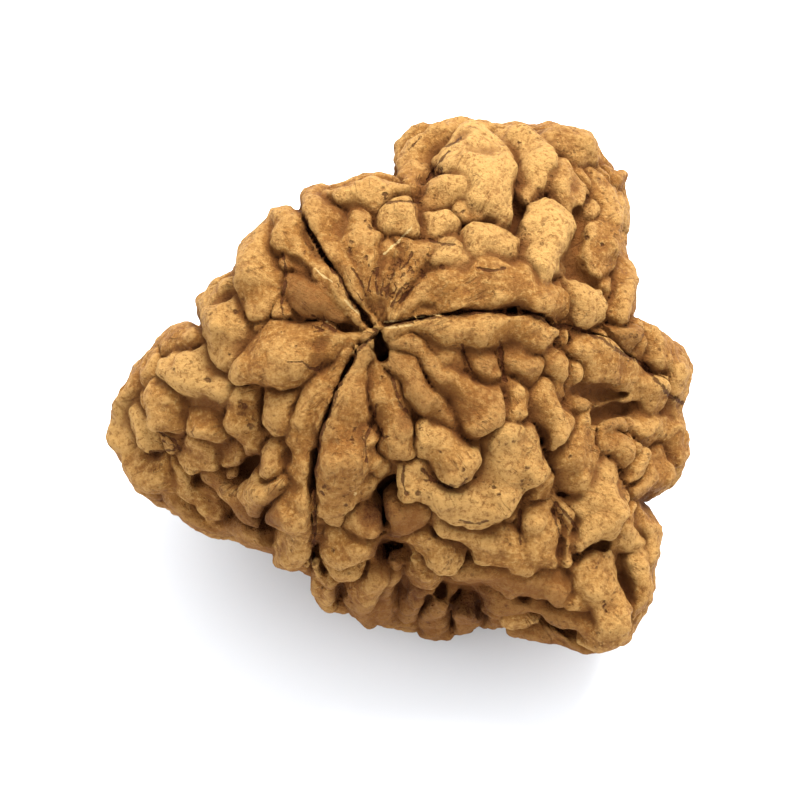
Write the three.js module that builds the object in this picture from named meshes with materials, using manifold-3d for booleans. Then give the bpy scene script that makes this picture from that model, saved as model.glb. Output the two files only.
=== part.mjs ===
// A rudraksha bead: the ridged seed stone of a three-faced fruit, drilled through for a string.
// It stands almost upright on a small flat spot, with one mouth of the string hole looking up.
// Millimetres, +Z up. The origin is on the standing surface, below the middle of the bead's box.

import * as THREE from 'three';
import { mergeVertices } from 'three/addons/utils/BufferGeometryUtils.js';
import Module from 'manifold-3d';

// Driving dimensions
const BEAD_SPAN = 23.2;
const STRING_HOLE_RADIUS = 0.3;
const MOUTH_WIDTH = 0.6;
const MOUTH_LENGTH = 1.4;
const MOUTH_DEPTH = 1.6;
const FLAT_SPOT_RADIUS = 2.3;
const HEEL_RADIUS = 4;

// The bead is described from above its upper mouth, along one sight line. A place is a picture
// position in pixels and a depth in mm below the upper mouth.
const PICTURE_MIDDLE = 400;
const FOCAL_LENGTH_PX = 2400;
const PIXELS_PER_MM = 28;
const SIGHT_ELEVATION = THREE.MathUtils.degToRad(58);

// Picture position and depth of the body's middle and of the upper mouth of the string hole
const BODY_MIDDLE = [404, 395, 8.4];
const UPPER_MOUTH = [380, 345, 0];

// From the body's middle to the middle of the flat spot: right, back and down
const TO_FLAT_SPOT = [0.8, 0.4, -10.3];

// How the ridges grow out of the body, in mm; a ridge is wider than it shows, and sunk by the difference
const MOUND_BLEND = 1.6;
const RIDGE_BLEND = 0.2;
const ROOT_BLEND = 0.35;
const ROOT_DEPTH = 0.6;
const RIDGE_SPREAD = 1.3;
const BODY_INSET = 0.1;

// Hollows are cut in steps, from above the skin down to their bottom, where they are narrower
const HOLLOW_BLEND = 0.3;
const HOLLOW_RISE = 0.9;
const HOLLOW_STEPS = 4;
const HOLLOW_TAPER = 0.75;

// The outline trims the skin
const TRIM_BLEND = 0.35;
const TRIM_OFFSET = -0.05;

// Small tubercles fill the room that the described ridges leave, the largest first
const FILL_RADII = [0.8, 0.62, 0.48];
const FILL_SPOTS = 2600;
const FILL_STRIDE = 1009;
const FILL_SINK = 0.1;
const LONG_FILL_RADIUS = 0.5;
const LONGEST_FILL = 3;
const DEEPEST_SINK = 0.8;
const LEAST_SLANT = 0.5;

// Room that a tubercle needs at its first spot and at the next ones, as a share of its size
const FIRST_ROOM = 0.8;
const NEXT_ROOM = 0.62;

// Shortest and longest step from spot to spot, and the spread of the sizes: least share and range
const SHORTEST_LINK = 1.3;
const LONGEST_LINK = 2.6;
const SIZE_SHARES = [0.85, 0.35];
const END_SHARES = [0.8, 0.4];

// Fineness of the faceted skin and of the hole
const SKIN_DETAIL = 20;
const BORE_SIDES = 16;
const MOUTH_SIDES = 24;

// The search for the skin along a line: steps as a share of the gap, and when it has arrived
const FAR = 50;
const SEARCH_START = 16;
const SIGHT_START = -2;
const SEARCH_STEPS = 90;
const SEARCH_SHARE = 0.8;
const SPOT_SHARE = 0.9;
const LEAST_STEP = 0.03;
const SEARCH_CLOSE = 0.004;
const SLOPE_STEP = 0.05;
const NEAR_COSINE = 0.9;

// Multipliers of the sine that scatters the tubercles
const SCATTER_INDEX = 12.9898;
const SCATTER_SALT = 78.233;
const SCATTER_SCALE = 43758.5453;

// Swellings of the body: picture position, depth of the front, radius
const MOUNDS = {
  crown: [384, 345, 0.6, 5.2],
  crown_up: [372, 260, 1.0, 3.0],
  crown_left: [310, 308, 1.0, 2.9],
  crown_left_low: [300, 360, 1.3, 3.2],
  crown_low: [345, 440, 1.9, 3.0],
  crown_right: [470, 300, 1.3, 3.2],
  crown_right_low: [455, 400, 2.0, 3.2],
  shoulder: [284, 264, 2.2, 1.6],
  shoulder_tip: [302, 240, 3.2, 1.3],
  back_ridge: [368, 228, 2.4, 1.4],
  left_a: [240, 326, 3.2, 1.4],
  left_b: [205, 382, 3.8, 2.2],
  left_c: [250, 410, 3.4, 2.2],
  left_d: [186, 388, 6.4, 1.9],
  left_e: [174, 424, 7.2, 1.8],
  left_f: [186, 458, 8.0, 1.8],
  left_g: [212, 436, 5.6, 2.2],
  left_h: [222, 476, 7.6, 1.8],
  left_i: [256, 496, 8.2, 1.7],
  flank_c: [302, 470, 3.2, 1.8],
  flank_c_end: [295, 515, 4.4, 1.6],
  flank_c_tip: [290, 545, 5.8, 1.4],
  leaf_end: [338, 495, 3.2, 1.6],
  leaf_tip: [348, 550, 5.2, 1.6],
  top_a: [436, 172, 5.2, 1.4],
  top_b: [478, 184, 4.8, 1.9],
  top_c: [480, 240, 2.2, 2.4],
  top_d: [545, 184, 5.6, 1.9],
  top_e: [545, 240, 3.4, 2.2],
  top_f: [578, 196, 7.4, 1.7],
  top_g: [576, 232, 7.2, 1.6],
  top_h: [584, 286, 7.6, 1.6],
  flank_b: [540, 300, 2.8, 2.0],
  flank_b_end: [583, 308, 4.6, 1.8],
  right_a: [595, 355, 5.0, 2.2],
  right_b: [640, 385, 7.2, 2.0],
  right_c: [630, 364, 8.6, 1.5],
  right_d: [640, 378, 9.4, 1.5],
  right_e: [634, 440, 9.2, 1.8],
  right_f: [612, 462, 7.8, 1.8],
  mid_a: [530, 365, 2.8, 2.4],
  mid_b: [550, 410, 3.8, 2.2],
  mid_c: [578, 460, 4.8, 2.2],
  mid_d: [592, 512, 5.6, 1.8],
  mid_e: [540, 530, 4.6, 2.0],
  mid_f: [500, 480, 3.8, 2.6],
  mid_g: [440, 450, 3.0, 2.4],
  mid_h: [435, 500, 4.0, 2.2],
  mid_i: [500, 535, 5.0, 1.8],
  right_low: [614, 540, 7.8, 1.4],
  right_lower: [606, 584, 8.0, 1.4],
  nose: [590, 585, 6.0, 1.4],
  nose_tip: [596, 614, 6.8, 1.2],
  band: [520, 576, 6.6, 1.6],
  band_low: [548, 602, 8.4, 1.2],
  band_left: [470, 575, 6.8, 1.5],
  bottom_a: [432, 555, 6.8, 1.4],
  bottom_b: [376, 576, 8.8, 1.5],
  bottom_c: [430, 594, 11.0, 1.4],
  bottom_d: [476, 586, 11.0, 1.4],
  bottom_e: [346, 574, 9.2, 1.0],
};

// The body behind them, as chains: picture position, depth of the middle, radius
const BODY = {
  core: [[404, 395, 8.6, 7.2]],
  core_low: [[410, 418, 11.0, 6.5]],
  top_lobe: [[430, 300, 5.6, 3.6], [515, 222, 8.2, 3.0], [500, 268, 11.8, 3.7], [455, 350, 13.4, 3.8]],
  left_lobe: [[320, 350, 5.6, 3.6], [212, 420, 9.2, 2.9], [240, 428, 12.0, 3.6], [330, 430, 13.6, 3.8]],
  right_lobe: [[450, 400, 5.6, 3.6], [600, 430, 10.2, 2.6], [556, 436, 12.4, 3.6], [480, 430, 13.6, 3.8]],
  right_low_lobe: [[500, 470, 7.6, 3.2], [588, 558, 9.4, 2.2], [540, 515, 12.0, 3.2]],
  low_lobe: [[400, 470, 8.0, 3.4], [415, 535, 11.6, 2.9], [420, 490, 13.4, 3.4]],
};

// Ridges and knobs on the body: how far they stand out, then picture position and radius in pixels
const RIDGES = {
  flank_a_left: [0.15, [[285, 215, 17], [294, 235, 16], [306, 255, 14], [320, 272, 13], [336, 290, 11],
    [352, 309, 8], [364, 322, 4]]],
  shoulder_ridge: [0, [[273, 222, 12], [262, 240, 17], [257, 262, 19], [257, 282, 18], [263, 300, 13]]],
  brown_plate: [0, [[298, 292, 13], [318, 298, 15], [340, 310, 10]]],
  brown_plate_top: [0, [[290, 262, 10], [300, 276, 9]]],
  left_bumps: [0, [[212, 303, 13], [228, 290, 13]]],
  striated: [0, [[215, 312, 15], [232, 320, 20], [226, 340, 18]]],
  wedge: [0, [[355, 338, 5], [330, 348, 13], [300, 355, 20], [270, 360, 24], [250, 362, 19]]],
  pale_ridge: [0.1, [[172, 364, 15], [196, 376, 22], [222, 392, 17]]],
  pale_ridge_low: [0, [[200, 398, 9], [222, 408, 8]]],
  granular_knob: [0, [[243, 402, 15], [246, 425, 15], [250, 440, 8]]],
  knob_one: [0, [[284, 408, 16], [297, 425, 13]]],
  knob_two: [0, [[278, 455, 15]]],
  flank_c_left: [0.1, [[352, 350, 7], [340, 373, 9], [326, 395, 12], [313, 418, 16], [306, 443, 17],
    [303, 468, 15], [300, 492, 18], [295, 510, 23]]],
  knob_three: [0.1, [[303, 530, 14], [291, 552, 15]]],
  leaf_foot: [0, [[303, 578, 11], [322, 598, 13]]],
  leaf_foot_low: [0, [[343, 604, 13]]],
  stub: [0.5, [[280, 478, 11], [262, 487, 11], [246, 497, 12]]],
  outer_upper: [0, [[175, 339, 14], [190, 338, 12]]],
  outer_notch: [0, [[155, 358, 9], [148, 372, 14]]],
  outer_ridge: [0, [[140, 385, 15], [127, 405, 17], [122, 430, 14], [128, 447, 12]]],
  outer_inner: [0.1, [[141, 418, 12], [150, 440, 10]]],
  mid_left: [0, [[160, 396, 14], [172, 416, 20]]],
  mid_left_two: [0, [[212, 428, 18]]],
  rim_lump: [0, [[204, 450, 14], [190, 462, 10]]],
  rim_ring: [0, [[182, 470, 8], [186, 488, 9], [200, 495, 8], [215, 489, 8]]],
  lower_left: [0, [[136, 468, 17], [160, 478, 20]]],
  lower_left_edge: [0, [[152, 490, 11]]],
  lower_left_band: [0, [[175, 498, 12], [195, 515, 14], [225, 522, 14], [250, 535, 14]]],
  small_ridge: [0.2, [[203, 498, 6], [212, 514, 5]]],
  lower_left_mid: [0, [[220, 500, 14]]],
  flank_a_right: [0.15, [[308, 194, 10], [316, 212, 16], [326, 232, 18], [337, 252, 16], [348, 272, 13],
    [357, 292, 11], [364, 308, 6], [370, 320, 4]]],
  back_ridge: [0, [[330, 197, 10], [352, 200, 17], [377, 192, 19], [394, 194, 13]]],
  arch_bump: [0.1, [[392, 217, 12], [405, 216, 15]]],
  middle_plate: [0, [[352, 225, 14], [357, 245, 18], [364, 266, 18], [370, 288, 14], [376, 306, 8]]],
  middle_fill: [0, [[388, 262, 15], [384, 282, 14], [381, 300, 9]]],
  hump: [0, [[430, 258, 15], [445, 262, 20], [460, 268, 16]]],
  hump_low: [-0.1, [[425, 280, 10], [455, 283, 10]]],
  granular_plate: [0, [[416, 254, 20], [406, 278, 18], [394, 300, 12], [386, 313, 6]]],
  small_bump: [0, [[440, 228, 15]]],
  bump: [0, [[484, 250, 19], [496, 249, 20]]],
  flank_b_upper: [0.1, [[396, 314, 9], [412, 307, 13], [432, 298, 18], [460, 290, 23], [490, 285, 25],
    [515, 288, 24], [540, 296, 22], [556, 303, 13]]],
  flank_b_end: [0, [[577, 306, 18], [589, 310, 16]]],
  top_finger_one: [0, [[400, 168, 7], [403, 148, 8], [414, 133, 9], [428, 129, 8]]],
  top_finger_two: [0, [[411, 190, 9], [413, 172, 13], [424, 154, 13], [438, 140, 12], [455, 129, 10]]],
  top_drop: [0, [[474, 152, 27], [480, 178, 28], [485, 203, 19]]],
  top_drop_left: [0, [[438, 192, 15], [455, 196, 16]]],
  top_drop_low: [0, [[466, 212, 9], [480, 217, 8]]],
  top_mid: [0, [[530, 146, 22], [535, 172, 23], [536, 188, 17]]],
  top_mid_fold: [0, [[505, 140, 10], [507, 160, 9]]],
  top_right: [0, [[562, 146, 23], [580, 148, 20]]],
  top_mid_low: [0, [[562, 178, 16], [560, 194, 13]]],
  dumbbell: [0.2, [[548, 228, 21], [545, 245, 17], [538, 267, 20]]],
  point: [0, [[612, 173, 10], [622, 174, 9]]],
  right_column: [0, [[600, 195, 19], [604, 222, 20], [602, 250, 19]]],
  right_column_low: [0, [[625, 283, 12], [620, 305, 13]]],
  red_lump: [0, [[622, 335, 15]]],
  back_right: [0, [[652, 345, 18], [664, 352, 16]]],
  back_right_low: [0, [[674, 370, 16], [672, 388, 13]]],
  flank_b_lower: [0.1, [[395, 330, 8], [420, 328, 11], [450, 328, 17], [480, 328, 20], [510, 328, 21],
    [537, 332, 17]]],
  b_knob: [0, [[560, 334, 9]]],
  b_outer: [0, [[577, 342, 12], [595, 352, 17], [622, 370, 16], [646, 390, 16], [650, 400, 14]]],
  fold_one: [0, [[430, 343, 8], [445, 354, 14], [456, 365, 11]]],
  fold_two: [0, [[468, 345, 9], [481, 356, 15], [487, 372, 10]]],
  fold_three: [0, [[512, 346, 14], [523, 366, 17]]],
  plate_edge: [0.1, [[548, 348, 9], [553, 368, 13], [558, 388, 9], [566, 405, 4], [568, 418, 3]]],
  diagonal_one: [0.1, [[392, 340, 4], [410, 347, 7], [430, 362, 10], [450, 380, 14], [468, 396, 19],
    [482, 413, 20]]],
  diagonal_two: [0.1, [[393, 352, 5], [403, 372, 8], [418, 390, 11], [435, 404, 12], [449, 420, 11]]],
  bump_one: [0, [[512, 396, 12], [516, 413, 14]]],
  bump_two: [0.1, [[549, 402, 18], [553, 418, 18]]],
  rim_bump: [0, [[570, 446, 20], [580, 470, 19]]],
  leaf: [0.3, [[366, 348, 6], [356, 372, 10], [347, 400, 15], [340, 430, 20], [345, 458, 27],
    [341, 480, 23], [337, 498, 18], [334, 512, 12], [332, 521, 6]]],
  leaf_side_one: [0, [[372, 372, 7], [380, 392, 13], [387, 410, 10], [398, 427, 13], [398, 443, 12],
    [386, 447, 8]]],
  leaf_side_two: [0.4, [[358, 432, 11], [364, 444, 13]]],
  leaf_side_four: [0.2, [[362, 462, 12], [372, 464, 11]]],
  egg: [0.2, [[428, 424, 8], [438, 442, 15], [452, 463, 20]]],
  u_ridge: [0.1, [[409, 468, 10], [416, 486, 14], [440, 501, 17], [470, 503, 18], [498, 490, 20],
    [520, 466, 26], [508, 441, 20]]],
  lower_slope: [0, [[436, 519, 8], [462, 531, 12], [492, 544, 16], [522, 556, 16]]],
  oval: [0.1, [[538, 525, 16], [540, 548, 17]]],
  fan_fold: [0, [[563, 518, 6], [567, 535, 6], [566, 553, 6]]],
  right_slope: [0, [[595, 485, 20], [600, 512, 24], [585, 530, 14]]],
  granular_lump: [0, [[533, 480, 15]]],
  nose: [0.1, [[590, 572, 15], [602, 592, 16], [610, 615, 18], [608, 635, 17]]],
  nose_left: [0, [[580, 600, 12]]],
  band_upper: [0, [[470, 572, 16], [500, 574, 15], [530, 580, 13], [560, 588, 12]]],
  band_middle: [0, [[500, 600, 9], [530, 606, 8], [560, 613, 9], [590, 625, 10]]],
  band_lowest: [0, [[515, 628, 9], [545, 632, 8], [575, 645, 8], [598, 650, 8]]],
  right_edge: [0, [[640, 520, 10], [650, 527, 12], [648, 545, 11]]],
  right_edge_low: [0, [[636, 560, 12], [641, 585, 12], [640, 602, 10]]],
  right_back: [0, [[640, 425, 14], [668, 432, 16], [674, 452, 15]]],
  right_back_low: [0, [[655, 472, 20], [640, 488, 12]]],
  right_inner: [0, [[615, 445, 14]]],
  right_notch: [0, [[672, 408, 10]]],
  under_cavity: [0, [[398, 508, 13], [416, 522, 16]]],
  low_lump: [0, [[430, 545, 15], [446, 556, 13]]],
  low_lump_right: [0, [[470, 572, 15]]],
  below_leaf: [0, [[336, 546, 19], [354, 541, 19]]],
  below_leaf_low: [0, [[345, 566, 13]]],
  leaf_shadow_wall: [0, [[362, 520, 15]]],
  fin_one: [0.1, [[376, 572, 10], [364, 590, 12], [360, 608, 13], [366, 620, 10]]],
  fin_two: [0.1, [[394, 574, 5], [386, 592, 8], [384, 608, 11], [388, 618, 10]]],
  fin_three: [0.1, [[418, 588, 6], [408, 602, 8], [406, 614, 9]]],
  fin_four: [0.1, [[444, 604, 6], [434, 618, 10], [432, 632, 13], [446, 634, 10]]],
  fin_five: [0, [[468, 616, 9], [464, 630, 8]]],
  fin_six: [0, [[494, 612, 8], [488, 622, 7]]],
  bottom_bar: [0, [[325, 590, 6], [326, 605, 6]]],
  bottom_frame: [0, [[313, 560, 4], [314, 580, 4], [330, 579, 4]]],
};

// Hollows between the ridges: depth below the body, then picture position and radius in pixels
const HOLLOWS = {
  crown_pit: [0.5, [[326, 326, 4], [340, 329, 6], [356, 328, 4]]],
  triangle: [2.6, [[396, 472, 9], [386, 496, 18], [372, 522, 16]]],
  top_cavity: [1.0, [[463, 229, 9], [478, 228, 10], [490, 228, 8]]],
  top_cleft: [0.7, [[513, 180, 4], [513, 200, 7], [519, 212, 10], [512, 232, 9]]],
  column_cleft: [0.3, [[576, 208, 7], [581, 222, 8], [578, 240, 8], [570, 258, 9], [576, 276, 10],
    [592, 284, 9]]],
  right_dark: [0.3, [[580, 390, 10], [600, 394, 9], [622, 392, 7]]],
  right_line: [0.6, [[592, 418, 8], [615, 410, 7], [645, 410, 6]]],
  right_shade: [0.5, [[618, 437, 10]]],
  left_dark: [0.9, [[254, 459, 8], [246, 472, 9], [238, 484, 7]]],
  left_dark_thin: [0.8, [[262, 392, 6], [267, 412, 6], [263, 430, 6]]],
  stub_dark: [1.3, [[266, 506, 10], [270, 520, 11], [266, 536, 9]]],
  stub_under: [0.7, [[240, 516, 9]]],
  ring_dark: [0.6, [[198, 481, 10]]],
  flank_gap: [1.1, [[318, 530, 8], [315, 550, 10]]],
  low_dark: [2.0, [[386, 549, 13], [402, 550, 12]]],
  low_dark_left: [0.8, [[376, 568, 8]]],
  bottom_dark: [1.6, [[446, 592, 12], [468, 600, 14], [484, 612, 10]]],
  bottom_valley_one: [0.9, [[402, 582, 7], [395, 600, 5]]],
  bottom_valley_two: [0.9, [[426, 598, 6], [419, 614, 5]]],
  bottom_valley_three: [1.0, [[453, 610, 6], [450, 622, 5]]],
  slope_dark: [0.7, [[437, 532, 9], [465, 556, 8], [500, 566, 7], [525, 577, 7], [552, 579, 6]]],
  nose_hollow: [0.4, [[588, 546, 8], [602, 544, 9]]],
  edge_cleft: [1.0, [[622, 553, 9], [624, 578, 11], [632, 600, 9]]],
  pit_hollow: [0.6, [[561, 490, 10]]],
  bump_cleft: [0.6, [[534, 427, 5], [541, 442, 6]]],
  diagonal_gap: [0.8, [[414, 368, 3], [432, 390, 4], [450, 408, 5], [464, 428, 5]]],
  curl_gap: [0.9, [[404, 412, 5], [416, 420, 6]]],
  egg_gap: [0.7, [[414, 430, 3], [412, 446, 5]]],
  band_dark: [0.6, [[520, 594, 6], [545, 619, 6], [575, 634, 6]]],
  frame_hole: [0.5, [[321, 562, 5], [325, 570, 6]]],
  frame_hole_low: [0.5, [[342, 588, 7], [336, 598, 7]]],
};

// The edge of the bead as it shows, as picture positions
const OUTLINE = [
  [108, 430], [108, 415], [112, 400], [120, 390], [128, 382], [135, 370], [150, 350], [160, 338],
  [172, 327], [180, 323], [195, 326], [200, 333], [203, 322], [200, 315], [197, 300], [203, 292],
  [213, 281], [235, 275], [238, 262], [245, 243], [268, 223], [272, 210], [290, 207], [302, 215],
  [302, 188], [310, 180], [330, 188], [345, 186], [358, 180], [370, 174], [378, 172], [385, 174],
  [397, 178], [394, 160], [396, 138], [402, 128], [412, 122], [430, 122], [445, 119], [457, 117],
  [480, 120], [500, 126], [520, 124], [540, 125], [550, 122], [565, 119], [580, 122], [590, 132],
  [597, 146], [603, 157], [610, 162], [632, 167], [625, 187], [624, 195], [629, 215], [626, 252],
  [635, 270], [638, 278], [636, 300], [630, 318], [655, 328], [672, 340], [683, 352], [692, 370],
  [688, 390], [682, 402], [680, 412], [690, 440], [690, 455], [680, 480], [665, 490], [640, 500],
  [640, 503], [650, 512], [662, 528], [658, 540], [660, 550], [653, 570], [654, 585], [651, 602],
  [638, 616], [634, 640], [620, 650], [600, 658], [590, 656], [580, 653], [560, 646], [540, 640],
  [520, 640], [505, 632], [490, 624], [480, 630], [460, 641], [440, 646], [418, 641], [410, 629],
  [395, 628], [380, 631], [365, 627], [355, 619], [345, 613], [330, 613], [322, 610], [318, 600],
  [313, 590], [313, 575], [300, 568], [290, 570], [277, 565], [275, 552], [245, 545], [225, 537],
  [210, 537], [200, 533], [190, 526], [180, 516], [170, 508], [155, 504], [145, 497], [135, 487],
  [125, 478], [117, 457], [110, 445],
];

const RIGHT = new THREE.Vector3(1, 0, 0);
const UP = new THREE.Vector3(0, Math.sin(SIGHT_ELEVATION), Math.cos(SIGHT_ELEVATION));
const TOWARD = new THREE.Vector3(0, -Math.cos(SIGHT_ELEVATION), Math.sin(SIGHT_ELEVATION));
const AXES = [RIGHT, new THREE.Vector3(0, 1, 0), new THREE.Vector3(0, 0, 1)];
const REACH = FOCAL_LENGTH_PX / PIXELS_PER_MM;
const EYE = TOWARD.clone().multiplyScalar(REACH);

function place(px, py, depth) {
  const reach = REACH + depth;
  return new THREE.Vector3()
    .addScaledVector(RIGHT, ((px - PICTURE_MIDDLE) / FOCAL_LENGTH_PX) * reach)
    .addScaledVector(UP, ((PICTURE_MIDDLE - py) / FOCAL_LENGTH_PX) * reach)
    .addScaledVector(TOWARD, -depth);
}

const MIDDLE = place(...BODY_MIDDLE);
const FLAT_SPOT = MIDDLE.clone().add(new THREE.Vector3(...TO_FLAT_SPOT));

function offset(point, direction, length) {
  return point.clone().addScaledVector(direction, length);
}

// A cone with round ends: the solid swept by a ball that runs from one end to the other
function roundCone(start, end, startRadius, endRadius) {
  const axis = new THREE.Vector3().subVectors(end, start);
  const lengthSquared = Math.max(axis.lengthSq(), Number.EPSILON);
  return { start, axis, lengthSquared, startRadius, growth: endRadius - startRadius };
}

const toPoint = new THREE.Vector3();

function distanceTo(cone, point) {
  toPoint.subVectors(point, cone.start);
  const along = THREE.MathUtils.clamp(toPoint.dot(cone.axis) / cone.lengthSquared, 0, 1);
  toPoint.addScaledVector(cone.axis, -along);
  return toPoint.length() - cone.startRadius - along * cone.growth;
}

function smoothMin(a, b, blend) {
  const overlap = Math.max(blend - Math.abs(a - b), 0) / blend;
  return Math.min(a, b) - (overlap * overlap * blend) / 4;
}

function smoothMax(a, b, blend) {
  return -smoothMin(-a, -b, blend);
}

function unionOf(cones, point, blend) {
  return cones.reduce((value, cone) => smoothMin(value, distanceTo(cone, point), blend), FAR);
}

function pairsOf(list) {
  const looped = list.length === 1 ? [list[0], list[0]] : list;
  return looped.slice(1).map((item, index) => [looped[index], item]);
}

// The round cones along a path of balls
function conesAlong(balls) {
  return pairsOf(balls).map(([a, b]) => roundCone(a.middle, b.middle, a.radius, b.radius));
}

function growBody() {
  const chains = Object.values(BODY).flatMap((chain) =>
    conesAlong(chain.map(([px, py, depth, radius]) => ({ middle: place(px, py, depth), radius }))),
  );
  const mounds = Object.values(MOUNDS).flatMap(([px, py, front, radius]) =>
    conesAlong([{ middle: place(px, py, front + radius), radius }]),
  );
  return [...mounds, ...chains];
}

const bodyCones = growBody();

// The heel widens the body down to the surface that the bead stands on
const heelRise = Math.sqrt(HEEL_RADIUS ** 2 - FLAT_SPOT_RADIUS ** 2);
const heelMiddle = offset(FLAT_SPOT, AXES[2], heelRise);
const heel = roundCone(heelMiddle, heelMiddle, HEEL_RADIUS, HEEL_RADIUS);

// Depth at which a sight line meets the body, or comes nearest to it
function depthOnBody(px, py) {
  const sight = place(px, py, 0).sub(EYE).divideScalar(REACH);
  let reach = REACH + SIGHT_START;
  let nearest = FAR;
  let nearestReach = reach;
  for (let step = 0; step < SEARCH_STEPS; step += 1) {
    const gap = unionOf(bodyCones, offset(EYE, sight, reach), MOUND_BLEND);
    if (gap < nearest) {
      nearest = gap;
      nearestReach = reach;
    }
    if (gap < SEARCH_CLOSE) {
      break;
    }
    reach += Math.max(gap * SEARCH_SHARE, LEAST_STEP);
  }
  return nearestReach - REACH;
}

function bodyNormal(point) {
  const slope = AXES.map((axis) => {
    const ahead = unionOf(bodyCones, offset(point, axis, SLOPE_STEP), MOUND_BLEND);
    const behind = unionOf(bodyCones, offset(point, axis, -SLOPE_STEP), MOUND_BLEND);
    return ahead - behind;
  });
  return new THREE.Vector3(...slope).normalize();
}

// Each ridge runs along the body, with a root below it that joins it to the body
function growRidges() {
  return Object.values(RIDGES).flatMap(([rise, path]) => {
    const spots = path.map(([px, py, radiusPx]) => {
      const depth = depthOnBody(px, py) - rise;
      const crest = place(px, py, depth);
      const shown = (radiusPx * (REACH + depth)) / FOCAL_LENGTH_PX;
      return { crest, outward: bodyNormal(crest), shown };
    });
    return [0, ROOT_DEPTH].flatMap((sink) =>
      conesAlong(
        spots.map(({ crest, outward, shown }) => ({
          middle: offset(crest, outward, -shown * (RIDGE_SPREAD - 1) - sink),
          radius: shown * RIDGE_SPREAD,
        })),
      ),
    );
  });
}

// Each hollow as round cones at several depths, from above the skin down to its bottom
function growHollows() {
  return Object.values(HOLLOWS).flatMap(([sink, path]) => {
    const spots = path.map(([px, py, radiusPx]) => ({ px, py, radiusPx, depth: depthOnBody(px, py) }));
    return Array.from({ length: HOLLOW_STEPS }, (_, step) => step / (HOLLOW_STEPS - 1)).flatMap((part) =>
      conesAlong(
        spots.map(({ px, py, radiusPx, depth }) => {
          const level = depth - HOLLOW_RISE + part * (HOLLOW_RISE + sink);
          const shown = radiusPx * THREE.MathUtils.lerp(1, HOLLOW_TAPER, part);
          return { middle: place(px, py, level), radius: (shown * (REACH + level)) / FOCAL_LENGTH_PX };
        }),
      ),
    );
  });
}

// How far a point shows inside the outline, in mm; negative outside it
function roomInOutline(point) {
  const reach = REACH - point.dot(TOWARD);
  const px = PICTURE_MIDDLE + (point.dot(RIGHT) / reach) * FOCAL_LENGTH_PX;
  const py = PICTURE_MIDDLE - (point.dot(UP) / reach) * FOCAL_LENGTH_PX;
  let nearest = Infinity;
  let inside = false;
  for (let index = 0; index < OUTLINE.length; index += 1) {
    const [ax, ay] = OUTLINE[index];
    const [bx, by] = OUTLINE[(index + 1) % OUTLINE.length];
    const across = bx - ax;
    const down = by - ay;
    const part = ((px - ax) * across + (py - ay) * down) / (across * across + down * down);
    const along = THREE.MathUtils.clamp(part, 0, 1);
    nearest = Math.min(nearest, Math.hypot(px - ax - along * across, py - ay - along * down));
    if (ay > py !== by > py && px < ax + ((py - ay) * across) / down) {
      inside = !inside;
    }
  }
  return ((inside ? nearest : -nearest) * reach) / FOCAL_LENGTH_PX;
}

// A repeatable number from 0 to 1 for each spot
function scatter(index, salt) {
  const wave = Math.sin(index * SCATTER_INDEX + salt * SCATTER_SALT) * SCATTER_SCALE;
  return THREE.MathUtils.euclideanModulo(wave, 1);
}

// Each quantity that varies from spot to spot has its own salt
const LINKS_SALT = 4;
const REACH_SALT = 3;
const SIZE_SALT = 2;
const END_SALT = 5;

// Directions that follow one another by the golden angle cover the ball evenly
function spiralDirection(index, count) {
  const turn = index * Math.PI * (3 - Math.sqrt(5));
  const height = 1 - (2 * index + 1) / count;
  const ring = Math.sqrt(1 - height * height);
  return new THREE.Vector3(ring * Math.cos(turn), ring * Math.sin(turn), height);
}

function bodyPointAlong(direction) {
  let reach = SEARCH_START;
  for (let step = 0; step < SEARCH_STEPS; step += 1) {
    const gap = unionOf(bodyCones, offset(MIDDLE, direction, reach), MOUND_BLEND);
    if (gap < SEARCH_CLOSE) {
      break;
    }
    reach -= gap * SPOT_SHARE;
  }
  return offset(MIDDLE, direction, reach);
}

function fillSpot(index, taken) {
  const point = bodyPointAlong(spiralDirection(index, FILL_SPOTS));
  const normal = bodyNormal(point);
  const room = taken.reduce((least, cone) => Math.min(least, distanceTo(cone, point)), FAR);
  const slant = Math.max(Math.sqrt(Math.max(1 - normal.dot(TOWARD) ** 2, 0)), LEAST_SLANT);
  const reachOut = 0.5 + scatter(index, REACH_SALT);
  return { index, point, normal, room, slant, limbRoom: roomInOutline(point), reachOut };
}

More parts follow.
